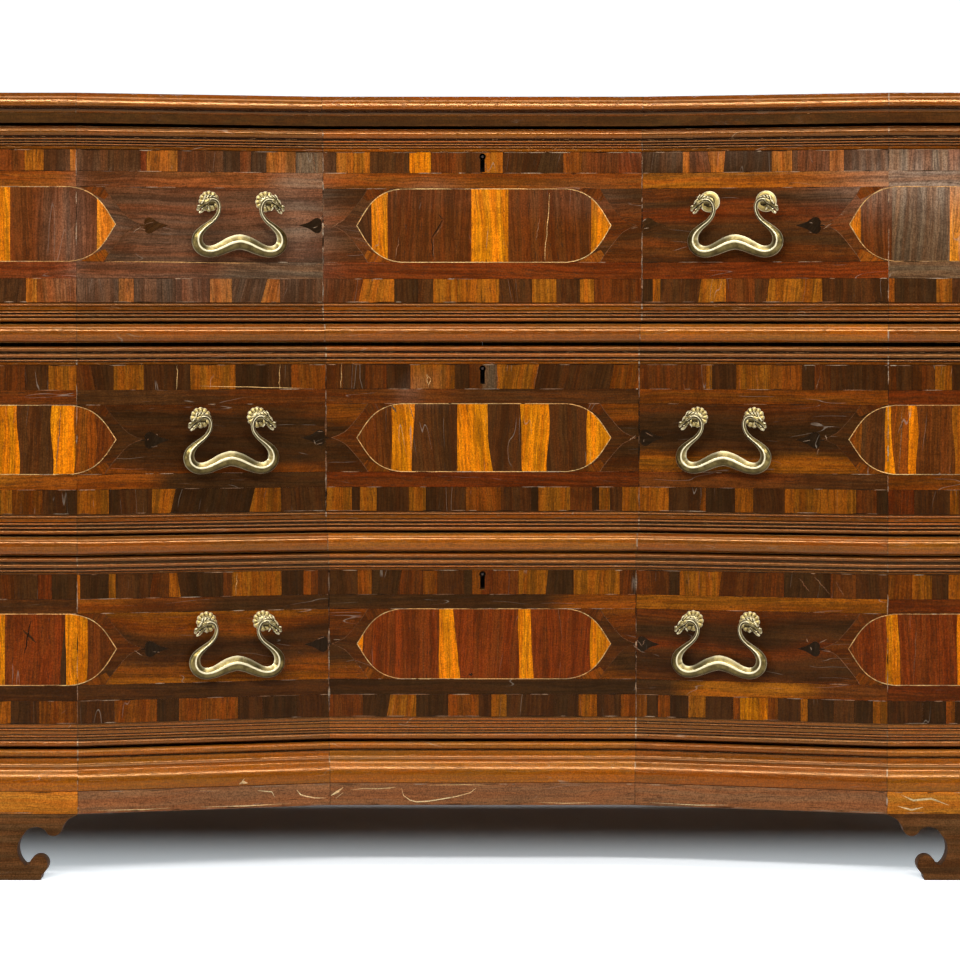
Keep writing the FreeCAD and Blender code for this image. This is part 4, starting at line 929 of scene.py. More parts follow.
def keyhole_half(tier, left, right, foot, head, hand):
    """The outline of the block on one side of the keyhole, notched round half of it."""
    top = SKIN[tier][1] - KEYHOLE_DROP
    centre = top - KEYHOLE_RADIUS
    start, end = math.pi / 2, -math.acos(SLOT_HALF / KEYHOLE_RADIUS)
    turns = [start + (end - start) * step / NOTCH_STEPS for step in range(NOTCH_STEPS + 1)]
    notch = [(hand * KEYHOLE_RADIUS * math.cos(turn), centre + KEYHOLE_RADIUS * math.sin(turn))
             for turn in turns]
    notch += [(hand * SLOT_HALF, top - KEYHOLE_LENGTH), (0, top - KEYHOLE_LENGTH)]
    outer = right if hand > 0 else left
    corners = [(0, head)] + notch + [(0, foot), (outer, foot), (outer, head)]
    return corners if hand < 0 else list(reversed(corners))


# %% Lay the crossbands
BLOCK_TILT, BLOCK_SPREAD = 3, 0.16
BLOCK_WEAR = [0.3, 0.5, 0.8, 1.0]


def band(stock, tier, texts, spans, foot, head, rng, keyhole=False):
    """Lays one band of blocks round the front of a drawer, plane by plane."""
    place = on_front(FOLDS[tier])
    for (left, right), text in zip(spans, texts):
        before = 0
        for tone, start, end, lean in read_blocks(text, left, right, rng):
            after = 0 if abs(end - right) < SAME_POINT else lean
            a, b = start + GAP, end - GAP
            outline = [(a - before / 2, foot + GAP), (b - after / 2, foot + GAP),
                       (b + after / 2, head - GAP), (a + before / 2, head - GAP)]
            if keyhole and min(abs(start), abs(end)) < SAME_POINT:
                hand = 1 if abs(start) < SAME_POINT else -1
                outline = keyhole_half(tier, a, b, foot + GAP, head - GAP, hand)
            lean_angle = math.degrees(math.atan2((before + after) / 2, head - foot))
            tilt = 90 + rng.uniform(-BLOCK_TILT, BLOCK_TILT) - lean_angle
            shade = aged(varied(tone, rng, BLOCK_SPREAD), tier)
            leaf(stock, outline, place, lambda x, z: with_painted_reflection(shade, x, z), GROUND_LIFT, tilt, rng,
                 worn=rng.choice(BLOCK_WEAR))
            before = after


for tier in TIERS:
    rng = random.Random(tier + " bands")
    whole = planes(FOLDS[tier], DRAWER_END)
    halved = whole[:3] + [(-FOLDS[tier], 0), (0, FOLDS[tier])] + whole[4:]
    stock = Stock()
    band(stock, tier, HEAD_BANDS[tier], halved, LEVELS[tier][3], SKIN[tier][1], rng, keyhole=True)
    band(stock, tier, FOOT_BANDS[tier], whole, SKIN[tier][0], LEVELS[tier][0], rng)
    stock.piece(tier + "_crossbands", veneer, tier + "_drawer", "marquetry")

# %% [markdown]
# ## Stringers, grounds and fields
# Inside the crossband lies a narrow stringer with level grain, and inside that the long field: upright
# walnut with bright sapwood strips and ogee ends, let into a level ground. The ground's tones follow its
# height and the field's follow its length, both with the slow wander of real heartwood.

# %% Tones that wander
# The carcass has darkened as much as the lower drawer, so that is where a tone goes without its tier.
DRIFT_ALONG, DRIFT_UP = 70, 45
SOFT_JOINT, JOINT_WANDER, JOINT_DRIFT_UP = 30, 12, 30
SEED_STEP = 7.3


def layered(text, foot, head, seed, drift=0.55, tier="lower"):
    """Tones from the foot up, blended into each other and wandering along the grain."""
    stops = [TONES[letter] for letter in text]

    def tone(x, z):
        stray = noise.noise(Vector((x / DRIFT_ALONG, z / DRIFT_UP, seed))) * drift
        reach = min(max((z - foot) / (head - foot) * (len(stops) - 1) + stray, 0), len(stops) - 1.001)
        first = int(reach)
        share = reach - first
        shade = mixed(stops[first], stops[first + 1], share * share * (3 - 2 * share))
        return with_painted_reflection(aged(shade, tier), x, z)
    return tone


def striped(blocks, seed):
    """Tones from left to right that run softly into each other."""
    def tone(x, z):
        shade = TONES[blocks[0][0]]
        for number, ((_, _, joint, _), (letter, *_)) in enumerate(zip(blocks, blocks[1:])):
            drift = noise.noise(Vector((number * SEED_STEP, z / JOINT_DRIFT_UP, seed))) * JOINT_WANDER
            shade = mixed(shade, TONES[letter], min(max((x - joint - drift) / SOFT_JOINT + 0.5, 0), 1))
        return with_painted_reflection(shade, x, z)
    return tone


print("heartwood low and high", [layered("dm", 0, 70, 1)(0, up) for up in (5, 65)])

# %% The outline of a field
# The middle corners that draw the ogee, as shares of its reach and its rise.
OGEE = ((0.22, 0.42), (0.36, 0.92))
OGEE_STEPS = 12
FIELD_END = 47


def quarter(tip, shoulder):
    """From a field's tip to the shoulder where its edge runs level."""
    reach, rise = shoulder[0] - tip[0], shoulder[1] - tip[1]
    corners = [(0, 0), *OGEE, (1, 1)]
    points = []
    for step in range(OGEE_STEPS + 1):
        share = step / OGEE_STEPS
        weights = [(1 - share) ** 3, 3 * share * (1 - share) ** 2, 3 * share ** 2 * (1 - share), share ** 3]
        across = sum(weight * corner[0] for weight, corner in zip(weights, corners))
        up = sum(weight * corner[1] for weight, corner in zip(weights, corners))
        points.append((tip[0] + reach * across, tip[1] + rise * up))
    return points


def field_outline(left, right, foot, head, length=FIELD_END):
    """A long field with an ogee tip at each end."""
    middle = (foot + head) / 2
    lower_left = quarter((left, middle), (left + length, foot))
    lower_right = quarter((right, middle), (right - length, foot))
    upper_right = quarter((right, middle), (right - length, head))
    upper_left = quarter((left, middle), (left + length, head))
    return lower_left + lower_right[::-1] + upper_right[1:] + upper_left[::-1][:-1]


print("a field has", len(field_outline(-134, 137, 0, 70)), "corners")

# %% Fill a field with strips
CUT_STEP = 7
JOINT_PACE, JOINT_HALF = 62, 0.04
STRIP_TILT, STRIP_SPREAD, STRIP_WEAR, STRIP_STEP = 4, 0.1, 0.22, 12


def cut_to(outline, joint, keep):
    """The part of an outline on one side of a joint, a function of the height; keep is 1 or -1."""
    kept = []
    for number, (x, z) in enumerate(outline):
        x0, z0 = outline[number - 1]
        here, there = keep * (x - joint(z)), keep * (x0 - joint(z0))
        if (here >= 0) != (there >= 0):
            share = there / (there - here)
            kept.append((x0 + (x - x0) * share, z0 + (z - z0) * share, True))
        if here >= 0:
            kept.append((x, z, False))
    result = []
    for (x, z, cut), (_, z1, cut1) in zip(kept, kept[1:] + kept[:1]):
        result.append((x, z))
        if cut and cut1:
            steps = int(abs(z1 - z) // CUT_STEP)
            levels = [z + (z1 - z) * step / (steps + 1) for step in range(1, steps + 1)]
            result += [(joint(level), level) for level in levels]
    return result


def strips(stock, outline, blocks, place, foot, head, rng, wander):
    """Fills a field with upright strips, each cut to its own joints."""
    def joint_at(number, shift):
        _, _, right, lean = blocks[number]
        seed = number * SEED_STEP + blocks[0][1]
        return lambda z: (right + shift + lean * ((z - foot) / (head - foot) - 0.5)
                          + noise.noise(Vector((seed, z / JOINT_PACE, 0))) * wander)

    for number, (tone, *_) in enumerate(blocks):
        part = outline
        if number:
            part = cut_to(part, joint_at(number - 1, JOINT_HALF), 1)
        if number < len(blocks) - 1:
            part = cut_to(part, joint_at(number, -JOINT_HALF), -1)
        if len(part) < 3:
            continue
        shade = varied(tone, rng, STRIP_SPREAD)
        leaf(stock, part, place, lambda x, z: with_painted_reflection(shade, x, z), FIELD_LIFT,
             90 + rng.uniform(-STRIP_TILT, STRIP_TILT), rng, lines("y", foot, head, STRIP_STEP), STRIP_WEAR)


# %% [markdown]
# Beyond each tip of a field lies a collar: a darker leaf whose ogee edge repeats the field's, with an amber
# corner above and below the tip. A black spade of bog oak stands on the collar's point and aims at the
# handle. They are cut in after the ground, so they are laid a hair higher.

# %% Collars
# Points of the collar's edge: how far beyond the tip, and the share of the field's half height.
COLLAR = [(-11.5, 1.0), (-9.5, 0.9), (-7, 0.8), (-2.5, 0.64), (3, 0.46), (8, 0.3), (13, 0.17), (20, 0.07),
          (27, 0.0)]
COLLAR_BACK = -40
CORNER_BACK, CORNER_INSIDE = (-36, 1.0), [(-11, 0.66), (-22, 0.8)]
CORNER_GRAIN = 60
COLLAR_LINE = 0.5


def collar(stock, lineage, place, tip, hand, foot, head, rng, tier):
    """The leaves beyond one tip; hand says which way the tip points."""
    middle, half = (foot + head) / 2, (head - foot) / 2 - GAP

    def corners(shares, side):
        return [(tip + hand * beyond, middle + side * share * half) for beyond, share in shares]

    above, below = corners(COLLAR, 1), corners(COLLAR, -1)
    back = tip + hand * COLLAR_BACK
    outline = [(back, middle + half)] + above + below[-2::-1] + [(back, middle - half)]
    tone = layered(rng.choice(["mdm", "mdd", "dmm"]), foot, head, rng.uniform(0, 99), tier=tier)
    leaf(stock, outline, place, tone, COLLAR_LIFT, rng.uniform(-8, 8), rng, lines("y", foot, head, 10),
         worn=0.6)
    for side, line in ((-1, below), (1, above)):
        corner = corners([CORNER_BACK] + COLLAR[:3] + CORNER_INSIDE, side)
        shade = aged(varied("o" if side < 0 else "m", rng), tier)
        leaf(stock, corner, place, shade, CORNER_LIFT, hand * side * CORNER_GRAIN, rng, worn=0.4)
        ribbon(lineage, line, place, mixed(TONES["f"], TONES["k"], rng.uniform(0, 0.8)), COLLAR_LINE, rng)


print("a collar reaches", COLLAR[-1][0], "mm beyond its tip")

# %% Spades
# Half of a spade's outline, from the notch between its lobes to its point.
SPADE = [(1.8, 0.0), (0.2, 2.2), (0.4, 5.2), (2.2, 8.2), (5.2, 9.6), (8.6, 9.0), (11.6, 7.0), (14.6, 4.8),
         (18.5, 3.0), (23, 1.7), (28, 0.0)]
SMALLEST_SPADE, LARGEST_SPADE = 0.82, 0.95
STALK = (-4, 2.4)
STALK_WIDTH, SCUFF_WIDTH = 1.4, 0.7
SCUFFS = 3


def spade(stock, place, lobes, hand, middle, tone, rng):
    """A spade with its lobes at one place, pointing the way that hand says, and the scuffs round it."""
    size = rng.uniform(SMALLEST_SPADE, LARGEST_SPADE)
    outline = [(lobes + hand * u * size, middle + v * size) for u, v in SPADE]
    outline += [(lobes + hand * u * size, middle - v * size) for u, v in SPADE[-2:0:-1]]
    leaf(stock, outline, place, TONES[tone], LINE_LIFT, rng.uniform(0, 90), rng, worn=0.5)
    ribbon(stock, [(lobes + hand * u, middle) for u in STALK], place, TONES[tone], STALK_WIDTH, rng)
    for _ in range(SCUFFS):
        start = (lobes + hand * rng.uniform(-6, 14), middle + rng.uniform(-9, 9))
        end = (start[0] + rng.uniform(-9, 9), start[1] + rng.uniform(-7, 7))
        path = wandering(start, end, rng, 0.6)
        ribbon(stock, path, place, mixed(TONES["f"], CHALK, rng.uniform(0, 0.7)), SCUFF_WIDTH, rng,
               taper=True, lift=SCUFF_LIFT)


print("a spade is up to", SPADE[-1][0] * LARGEST_SPADE, "mm long")

# %% The tones of stringers, grounds and fields, by plane
STRINGERS = {
    ("upper", "head"): ["o", "o40 o60", "m30 o50 f20", "o60 o40", "t", "f50 o50"],
    ("upper", "foot"): ["m", "r", "m60 g40", "r", "r", "g50 m50"],
    ("middle", "head"): ["m", "o30 k20 m50", "d60 m40", "m40 d60", "o", "r"],
    ("middle", "foot"): ["m", "a60 o40", "o30 k70", "r", "m60 d40", "o"],
    ("lower", "head"): ["o", "o40 d60", "o20 m30 k50", "k75 o25", "a", "r"],
    ("lower", "foot"): ["m", "d", "d", "k", "k20 a50 m30", "r"],
}
GROUNDS = {
    "upper": ["dm", "mmdm", "kmdmdm", "mdmdk", "dmkdrkm", "mdm"],
    "middle": ["md", "mdm", "odkkdkm", "mkdkoo", "aadkkdm", "mdm"],
    "lower": ["mo", "mom", "aoddkoa", "okdmo", "mkdrdkm", "mrm"],
}
FIELDS = {
    "upper": {"left": "~ y15 m22 m63 y18", "centre": "d15 y16 m84 y37 m83 y20", "right": "y11 m30 g57 y20 ~"},
    "middle": {"left": "~ y30 d33 y22 o20 m20", "centre": "m34 y23/6 d40 y34/-4 d31 y27/2 d38/4 y23",
               "right": "o12 d22 y9 o14 y9 m37 a20 ~"},
    "lower": {"left": "~ y10 r58 k3 y20 m29", "centre": "y6 r75 y16/-6 r59 y13/-3 r57 y19/-3",
              "right": "r37 y13 r57 y20 ~"},
}
WANDER = {"upper": 0.5, "middle": 6, "lower": 4}
SPADES = {"upper": "kb", "middle": "bb", "lower": "bb"}
NEAR_SPADE, FAR_SPADE = 1, 356
BLOCK_MIDDLE, FIELD_HALF = (OUTER_FOLD + BLOCK_END) / 2, 127
TIPS = {"left": (-BLOCK_MIDDLE - FIELD_HALF, -BLOCK_MIDDLE + FIELD_HALF), "centre": (-134, 137),
        "right": (BLOCK_MIDDLE - FIELD_HALF, BLOCK_MIDDLE + FIELD_HALF)}

# %% Lay stringers, grounds, fields and inlays
# The planes run from the left corner to the right one, and the right corner takes the left one's tones.
for tier in TIERS:
    rng = random.Random(tier + " inside")
    fold, place = FOLDS[tier], on_front(FOLDS[tier])
    low, foot, head, high = LEVELS[tier]
    stringers, grounds, fields, inlays = Stock(), Stock(), Stock(), Stock()
    spans = planes(fold, DRAWER_END)
    for name, bottom, top in (("foot", low, foot), ("head", head, high)):
        texts = STRINGERS[tier, name]
        for (left, right), text in zip(spans, texts + texts[:1]):
            if text[1:]:
                tone = striped(read_blocks(text, left, right, rng), rng.uniform(0, 99))
            else:
                tone = layered(text + text, bottom, top, 0, tier=tier)
            leaf(stringers, rectangle(left, right, bottom, top), place, tone, GROUND_LIFT,
                 rng.uniform(-2, 2), rng, lines("x", left, right, 12))
    for (left, right), text in zip(spans, GROUNDS[tier] + GROUNDS[tier][:1]):
        tone = layered(text, foot, head, rng.uniform(0, 99), 1.1, tier)
        leaf(grounds, rectangle(left, right, foot, head), place, tone, GROUND_LIFT, rng.uniform(-3, 3),
             rng, lines("x", left, right, 9) + lines("y", foot, head, 4))
    for name, (left, right) in TIPS.items():
        blocks = read_blocks(FIELDS[tier][name], left, right, rng)
        outline = field_outline(left, right, foot + GAP, head - GAP)
        strips(fields, outline, blocks, place, foot, head, rng, WANDER[tier])
        ribbon(inlays, outline, place, varied("s", rng), 0.8, rng, closed=True)
        for tip, hand in ((left, -1), (right, 1)):
            if abs(tip) < BLOCK_END:
                collar(grounds, inlays, place, tip, hand, foot, head, rng, tier)
    for side in (-1, 1):
        near, far = SPADES[tier][::side]
        spade(inlays, place, side * (fold + NEAR_SPADE), side, (foot + head) / 2, near, rng)
        spade(inlays, place, side * FAR_SPADE, -side, (foot + head) / 2 - 1, far, rng)
    for stock, name in ((stringers, "stringers"), (grounds, "grounds"), (fields, "fields"),
                        (inlays, "inlays")):
        stock.piece(f"{tier}_{name}", veneer, tier + "_drawer", "marquetry")

# %% [markdown]
# ## Two centuries of use
# The veneer has cracked over the joints of the core, and the folds have lost their colour where dusters
# rub them. A knot here and there is part of the plank. All of it is inlaid as thin lines.

# %% Cracks, worn folds and knots
# Each is its start and end, its width and its tone.
WEAR = {
    "upper": [(71.5, 722, 66.6, 650, 0.9, "s"), (-92.5, 652, -88.8, 676, 0.8, "f"),
              (60.5, 695, 56.8, 671, 0.8, "f"), (-53, 650, -54, 674, 1.1, "b"),
              (-54, 674, -42, 694, 1.4, "b"), (-160, 686, -146, 694, 0.9, "f"),
              (-139, 675, -120, 668, 0.7, "f"), (-178, 646, -150, 646, 0.9, "f"),
              (-395, 648, -240, 647, 0.7, "s"), (-180, 765, -178, 742, 0.8, "f"),
              (-51.5, 650, -52.4, 674, 0.7, "f"), (-52.4, 674, -41, 692, 0.7, "f"),
              (-42, 694, -47, 699, 1.0, "b"), (-31, 720, -28, 655, 0.5, "q")],
    "middle": [(-441.8, 492, -447, 428, 1.0, "f"), (-57, 514, -60, 529, 0.7, "s"),
               (-60, 529, -55, 523, 0.7, "s"), (-55, 523, -58, 517, 0.7, "s"),
               (-97, 496, -92, 488, 2.2, "g"), (-78, 497, -73, 480, 0.9, "f"), (60, 538, 54, 514, 0.8, "f"),
               (14, 538, 17, 514, 0.8, "f"), (-150, 540, -151, 514, 0.6, "s"),
               (-300, 517, -190, 514, 0.7, "s"), (440, 495, 436, 430, 0.9, "f"),
               (355, 528, 351, 514, 0.8, "f"), (-322, 540, -323, 513, 0.6, "s"),
               (-215, 540, -216, 513, 0.6, "s")],
    "lower": [(-473, 272, -481, 236, 1.6, "b"), (-482, 262, -468, 248, 2.4, "k"),
              (334, 314, 345, 300, 0.9, "f"), (350, 316, 366, 298, 0.9, "f"),
              (371, 312, 380, 297, 0.8, "f"), (-14, 207, -11, 209, 2.6, "b"),
              (-62, 204, -64, 262, 0.8, "q"), (15, 210, 18, 275, 0.7, "q"), (455, 262, 452, 210, 0.8, "f"),
              (-260, 318, -262, 295, 0.6, "s")],
}


# %% Dashes of lost polish along joints and folds
SHORTEST_DASH, LONGEST_DASH = 3, 26
PALE_DASHES = 0.65
DASH_SWAY, DASH_STEPS = 0.25, 5

# Worn lines down the folds: which side, how wide, and what share of it is worn.
INNER_LINES = [(-1, 1.9, 0.9), (-1, 1.0, 0.8), (1, 1.7, 0.85), (1, 1.0, 0.8)]
OUTER_LINES = [(-1, 1.0, 0.7), (1, 1.1, 0.7)]
EDGE_LINE, JOINT_SHARE, PLINTH_SHARE = 0.9, 0.42, 0.45


def worn_line(stock, place, start, end, width, rng, share):
    """A joint or an edge that has lost its polish here and there, in dashes."""
    length = math.dist(start, end)
    along = 0.5
    while along < length - 1:
        reach = min(rng.uniform(SHORTEST_DASH, LONGEST_DASH), length - along)
        if rng.random() < share:
            ends = [partway(start, end, at / length) for at in (along, along + reach)]
            pale = rng.random() < PALE_DASHES
            tone = mixed(TONES["f"], CHALK, rng.uniform(0, 0.75)) if pale else TONES["b"]
            path = wandering(*ends, rng, DASH_SWAY, DASH_STEPS)
            ribbon(stock, path, place, tone, width * rng.uniform(0.5, 1.1), rng, taper=True, lift=WEAR_LIFT)
        along += reach


for tier in TIERS:
    rng = random.Random(tier + " wear")
    fold, place = FOLDS[tier], on_front(FOLDS[tier])
    stock = Stock()
    for x0, z0, x1, z1, width, tone in WEAR[tier]:
        ribbon(stock, wandering((x0, z0), (x1, z1), rng, 0.7), place, varied(tone, rng), width, rng,
               taper=True, lift=WEAR_LIFT)
    foot, head = SKIN[tier][0] + 0.5, SKIN[tier][1] - 0.5
    down = [(hand * fold, *rest) for hand, *rest in INNER_LINES]
    down += [(hand * OUTER_FOLD, *rest) for hand, *rest in OUTER_LINES]
    for across, width, share in down:
        worn_line(stock, place, (across, foot), (across, head), width, rng, share)
    for level in (SKIN[tier][0] + 0.6, *LEVELS[tier], SKIN[tier][1] - 0.4):
        for left, right in planes(fold, DRAWER_END):
            worn_line(stock, place, (left + 1, level), (right - 1, level), EDGE_LINE, rng, JOINT_SHARE)
    stock.piece(tier + "_wear", veneer, tier + "_drawer", "marquetry")

# %% [markdown]
# The plinth has had the worst of it: brooms and boots have chipped its lower edge, and somebody once dragged
# something along it. The chips show raw, pale wood.

# %% Chips and scratches of the plinth
# Each is a path of (across, up) points and its width.
CHIPS = [
    ([(-199, 87), (-195, 82), (-189, 80), (-180, 78), (-168, 77.5)], 1.3),
    ([(-163, 80), (-156, 84), (-150, 88.5)], 2.6), ([(-158, 77), (-150, 83)], 2.0),
    ([(-142, 86), (-128, 87.4), (-114, 87.2), (-100, 88), (-93, 89)], 0.9),
    ([(-87, 88), (-85, 80), (-78, 75), (-71, 73.2), (-58, 74), (-45, 76), (-28, 79), (-13, 83),
      (-7, 88)], 1.0),
    ([(-240, 88), (-225, 86), (-222, 80)], 1.0), ([(-300, 90), (-280, 89)], 0.9),
    ([(439, 90), (452, 84), (470, 86), (488, 79)], 2.2), ([(436, 78), (450, 74), (462, 77)], 2.0),
    ([(500, 88), (520, 82), (535, 76)], 1.8), ([(60, 72.5), (90, 71.6), (120, 72.4)], 0.9),
    ([(180, 73), (230, 72), (262, 73.4)], 0.8), ([(-405, 73), (-360, 72), (-330, 72.8)], 0.9),
    ([(-300, 72.6), (-250, 72), (-205, 73)], 0.9), ([(-60, 91), (-20, 91.6), (10, 91)], 0.7),
]
ROLL_CHIPS = [([(-259, 95.4), (-255, 97.6), (-250.5, 96.2)], 3.4), ([(-256, 98.6), (-253.5, 101)], 1.6)]
PLINTH_STAND, ROLL_STAND = 11.75, 11.7


def on_base(stand):
    """A place function for work that lies so far off the line of the base."""
    place = on_front(FOLDS["base"])

    def stood(across, up, lift):
        return place(across, up, stand + lift)
    return stood


stock = Stock()
rng = random.Random("plinth")
on_plinth, on_roll = on_base(PLINTH_STAND), on_base(ROLL_STAND)
for path, width in CHIPS:
    tone = mixed(TONES["c"], TONES["s"], rng.uniform(0, 0.6))
    ribbon(stock, path, on_plinth, tone, width, rng, taper=True)
for left, right in planes(FOLDS["base"], BLOCK_END)[1:-1]:
    for level in (PLINTH_FOOT + 1.4, PLINTH_HEAD - 0.9):
        worn_line(stock, on_plinth, (left + 2, level), (right - 2, level), EDGE_LINE, rng, PLINTH_SHARE)
stock.piece("plinth_chips", plinth_wood, "carcass", "moulding_wood")
stock = Stock()
for path, width in ROLL_CHIPS:
    ribbon(stock, path, on_roll, TONES["c"], width, rng, taper=True)
stock.piece("roll_chip", plinth_wood, "carcass", "moulding_wood")

# %% [markdown]
# ## Brass handles
# Each bail is a swan-necked bar cast in one piece with two dragons' heads, which hang outward over their
# rosettes. The bar is wide and has a sharp ridge along it: bright above, shaded below. A lofted section that
# turns from a ridged bar into a round neck gives that form, and its colour adds a painted highlight along the
# ridge and painted shade below; the head is built up from lumps of wax and then skinned in one, as a
# founder's pattern is.

# %% The bar of a bail
# Each station is across, up from the pivot, out of the face, half height, half depth.
NECK = [
    (0, -43, 0, 7.9, 4.0), (9, -45.0, 0, 7.6, 4.0), (17, -48.6, 0, 7.0, 4.0), (25, -52.0, 0, 6.3, 3.9),
    (32.7, -53.3, 0, 6.1, 3.9), (39.3, -51.6, 0, 6.1, 3.9), (44.0, -47.0, 0, 6.1, 3.9),
    (45.5, -40.8, 0, 5.8, 3.8), (43.9, -34.9, 0, 4.9, 3.6), (40.2, -30.2, 0, 3.8, 3.2),
    (35.2, -25.8, 0.2, 3.0, 2.8), (29.8, -21.6, 0.6, 2.5, 2.5), (25.4, -16.6, 1.2, 2.25, 2.3),
    (22.9, -10.8, 2.4, 2.1, 2.1), (22.8, -5.2, 4.2, 2.1, 2.1), (24.9, -0.6, 6.2, 2.2, 2.1),
    (28.6, 1.6, 7.3, 2.3, 2.1), (32.6, 1.5, 7.4, 2.5, 2.3), (36.2, -0.6, 6.0, 2.9, 2.7),
]

# The section goes round the bar: up and into the face, as shares of its half height and half depth.
# Each of its points is painted bright (1), left plain (0) or painted dark (-1): the bright ridge is partly
# rubbed brass and partly a painted highlight, the dark underside and back partly soot and partly painted shade.
SECTION = [(1.0, -0.12), (0.66, -0.5), (0.28, -0.9), (0.19, -0.97), (0.1, -1.0), (0.0, -0.97), (-0.1, -0.9),
           (-0.5, -0.6), (-0.92, -0.24), (-1.0, 0.02), (-0.84, 0.5), (-0.42, 0.86), (0, 1.0), (0.42, 0.86),
           (0.84, 0.5)]
RUB_HIGHLIGHT_AND_SHADE = [0.5, 0.05, 0, 1, 1, 1, 0, 0, -0.3, -1, -1, -1, -1, -1, -0.8]
SMOOTH_PARTS = 5


def smooth_path(stations):
    """More stations between the given ones, on a curve that passes through them all."""
    path = []
    for number in range(len(stations) - 1):
        around = [Vector(stations[min(max(number + step, 0), len(stations) - 1)]) for step in (-1, 0, 1, 2)]
        for part in range(SMOOTH_PARTS):
            t = part / SMOOTH_PARTS
            path.append(0.5 * (2 * around[1] + (around[2] - around[0]) * t
                               + (2 * around[0] - 5 * around[1] + 4 * around[2] - around[3]) * t * t
                               + (3 * around[1] - around[0] - 3 * around[2] + around[3]) * t ** 3))
    return path + [Vector(stations[-1])]


def bar_mesh():
    """The bar about its pivot: X along the face, Y into the drawer, Z up, in millimetres."""
    half = smooth_path([(-NECK[1][0], *NECK[1][1:])] + NECK)[SMOOTH_PARTS:]
    whole = [Vector((-s[0], *s[1:])) for s in reversed(half[1:])] + half
    points, faces = [], []
    count = len(SECTION)
    for number, station in enumerate(whole):
        before, after = whole[max(number - 1, 0)], whole[min(number + 1, len(whole) - 1)]
        way = Vector((after[0] - before[0], before[2] - after[2], after[1] - before[1])).normalized()
        up = Vector((0, -1, 0)).cross(way).normalized()
        deep = way.cross(up)
        middle = Vector((station[0], -station[2], station[1]))
        for high, depth in SECTION:
            points.append(middle + up * high * station[3] - deep * depth * station[4])
    for ring in range(len(whole) - 1):
        for index in range(count):
            a, b = ring * count + index, ring * count + (index + 1) % count
            faces.append([a, b, b + count, a + count])
    faces += [list(range(count)), list(range((len(whole) - 1) * count, len(whole) * count))]
    return points, faces, RUB_HIGHLIGHT_AND_SHADE * len(whole)


bar = bar_mesh()
print("bar", len(bar[1]), "faces")

# %% The head of a dragon
# Lumps of wax: across, up, out of the face, radius. Each is drawn out into the next one of its row.
# The rows are brow, snout, nose, jaw, nostril and tooth, eye ridge, four locks of the crest, and beard.
LUMPS = [
    [(34.5, 0.6, 7.0, 2.9), (38.0, -1.4, 6.2, 3.6)],
    [(38.0, -1.8, 6.2, 3.3), (40.6, -3.6, 5.6, 2.7), (43.0, -5.9, 5.2, 2.2)],
    [(43.2, -5.7, 5.4, 2.2), (45.0, -7.4, 5.3, 2.1), (45.6, -9.2, 5.0, 1.7)],
    [(37.0, -4.8, 5.6, 2.3), (39.0, -8.0, 4.8, 2.0), (41.6, -11.2, 4.6, 1.6), (43.6, -12.2, 4.8, 1.4)],
    [(44.6, -5.2, 6.6, 1.1), (45.8, -5.4, 6.2, 1.0)], [(41.0, -8.6, 5.6, 0.9), (42.0, -8.0, 5.8, 0.5)],
    [(39.0, 1.2, 7.6, 1.3), (40.9, -0.6, 8.2, 1.4), (42.3, -2.6, 7.6, 0.9)],
    [(36.4, 2.4, 7.0, 1.5), (34.8, 5.0, 6.0, 1.2), (33.0, 6.4, 5.0, 0.7)],
    [(34.0, 2.6, 7.0, 1.4), (31.6, 4.8, 6.2, 1.2), (29.4, 5.6, 5.2, 0.7)],
    [(31.4, 2.2, 7.4, 1.2), (28.6, 4.0, 6.4, 1.1), (26.2, 4.2, 5.4, 0.6)],
    [(38.4, 2.6, 6.4, 1.3), (38.0, 5.0, 5.6, 1.0), (36.8, 6.8, 4.6, 0.6)],
    [(36.4, -4.6, 5.6, 1.3), (34.4, -7.6, 4.6, 1.0), (33.2, -9.6, 3.8, 0.6)],
]
DRAWN_STEPS = 6
WAX_VOXEL, WAX_SMOOTHING = 0.42, 2


def cast(lumps):
    """Skins drawn-out lumps into one closed form, and gives its mesh in millimetres."""
    wax = bmesh.new()
    for chain in lumps:
        for (x0, z0, y0, r0), (x1, z1, y1, r1) in zip(chain, chain[1:]):
            for step in range(DRAWN_STEPS + 1):
                share = step / DRAWN_STEPS
                middle = Vector((x0, -y0, z0)).lerp(Vector((x1, -y1, z1)), share)
                radius = r0 + (r1 - r0) * share
                bmesh.ops.create_icosphere(wax, subdivisions=2, radius=radius,
                                           matrix=Matrix.Translation(middle))
    rough = bpy.data.meshes.new("wax")
    wax.to_mesh(rough)
    wax.free()
    holder = linked("wax", rough)
    skin = holder.modifiers.new("skin", "REMESH")
    skin.mode, skin.voxel_size = "VOXEL", WAX_VOXEL
    holder.modifiers.new("smooth", "SMOOTH").iterations = WAX_SMOOTHING
    graph = bpy.context.evaluated_depsgraph_get()
    mesh = bpy.data.meshes.new_from_object(holder.evaluated_get(graph))
    bpy.data.objects.remove(holder)
    bpy.data.meshes.remove(rough)
    points = [vert.co.copy() for vert in mesh.vertices]
    faces = [list(face.vertices) for face in mesh.polygons]
    bpy.data.meshes.remove(mesh)
    return points, faces, [0.0] * len(points)


head = cast(LUMPS)
print("head", len(head[1]), "faces")

# %% [markdown]
# A rosette is a thin stamped disc whose rim is cut into leaves. On one handle the discs are plain, as they
# are later replacements.

# %% A rosette
# Its rings from the hole outward and back under the rim: radius, and how far it stands off its bed.
RINGS = [(2.7, 2.0), (4.0, 2.1), (5.0, 1.5), (6.4, 1.7), (8.6, 1.9), (10.3, 1.4), (11.2, 0.5), (11.2, 0.0),
         (2.7, 0.0)]
ROSETTE_STEPS = 96
LEAVES, LEAF_ROOT = 12, 6
NOTCH, HOLLOW, CROWN = 0.12, 0.45, 0.35


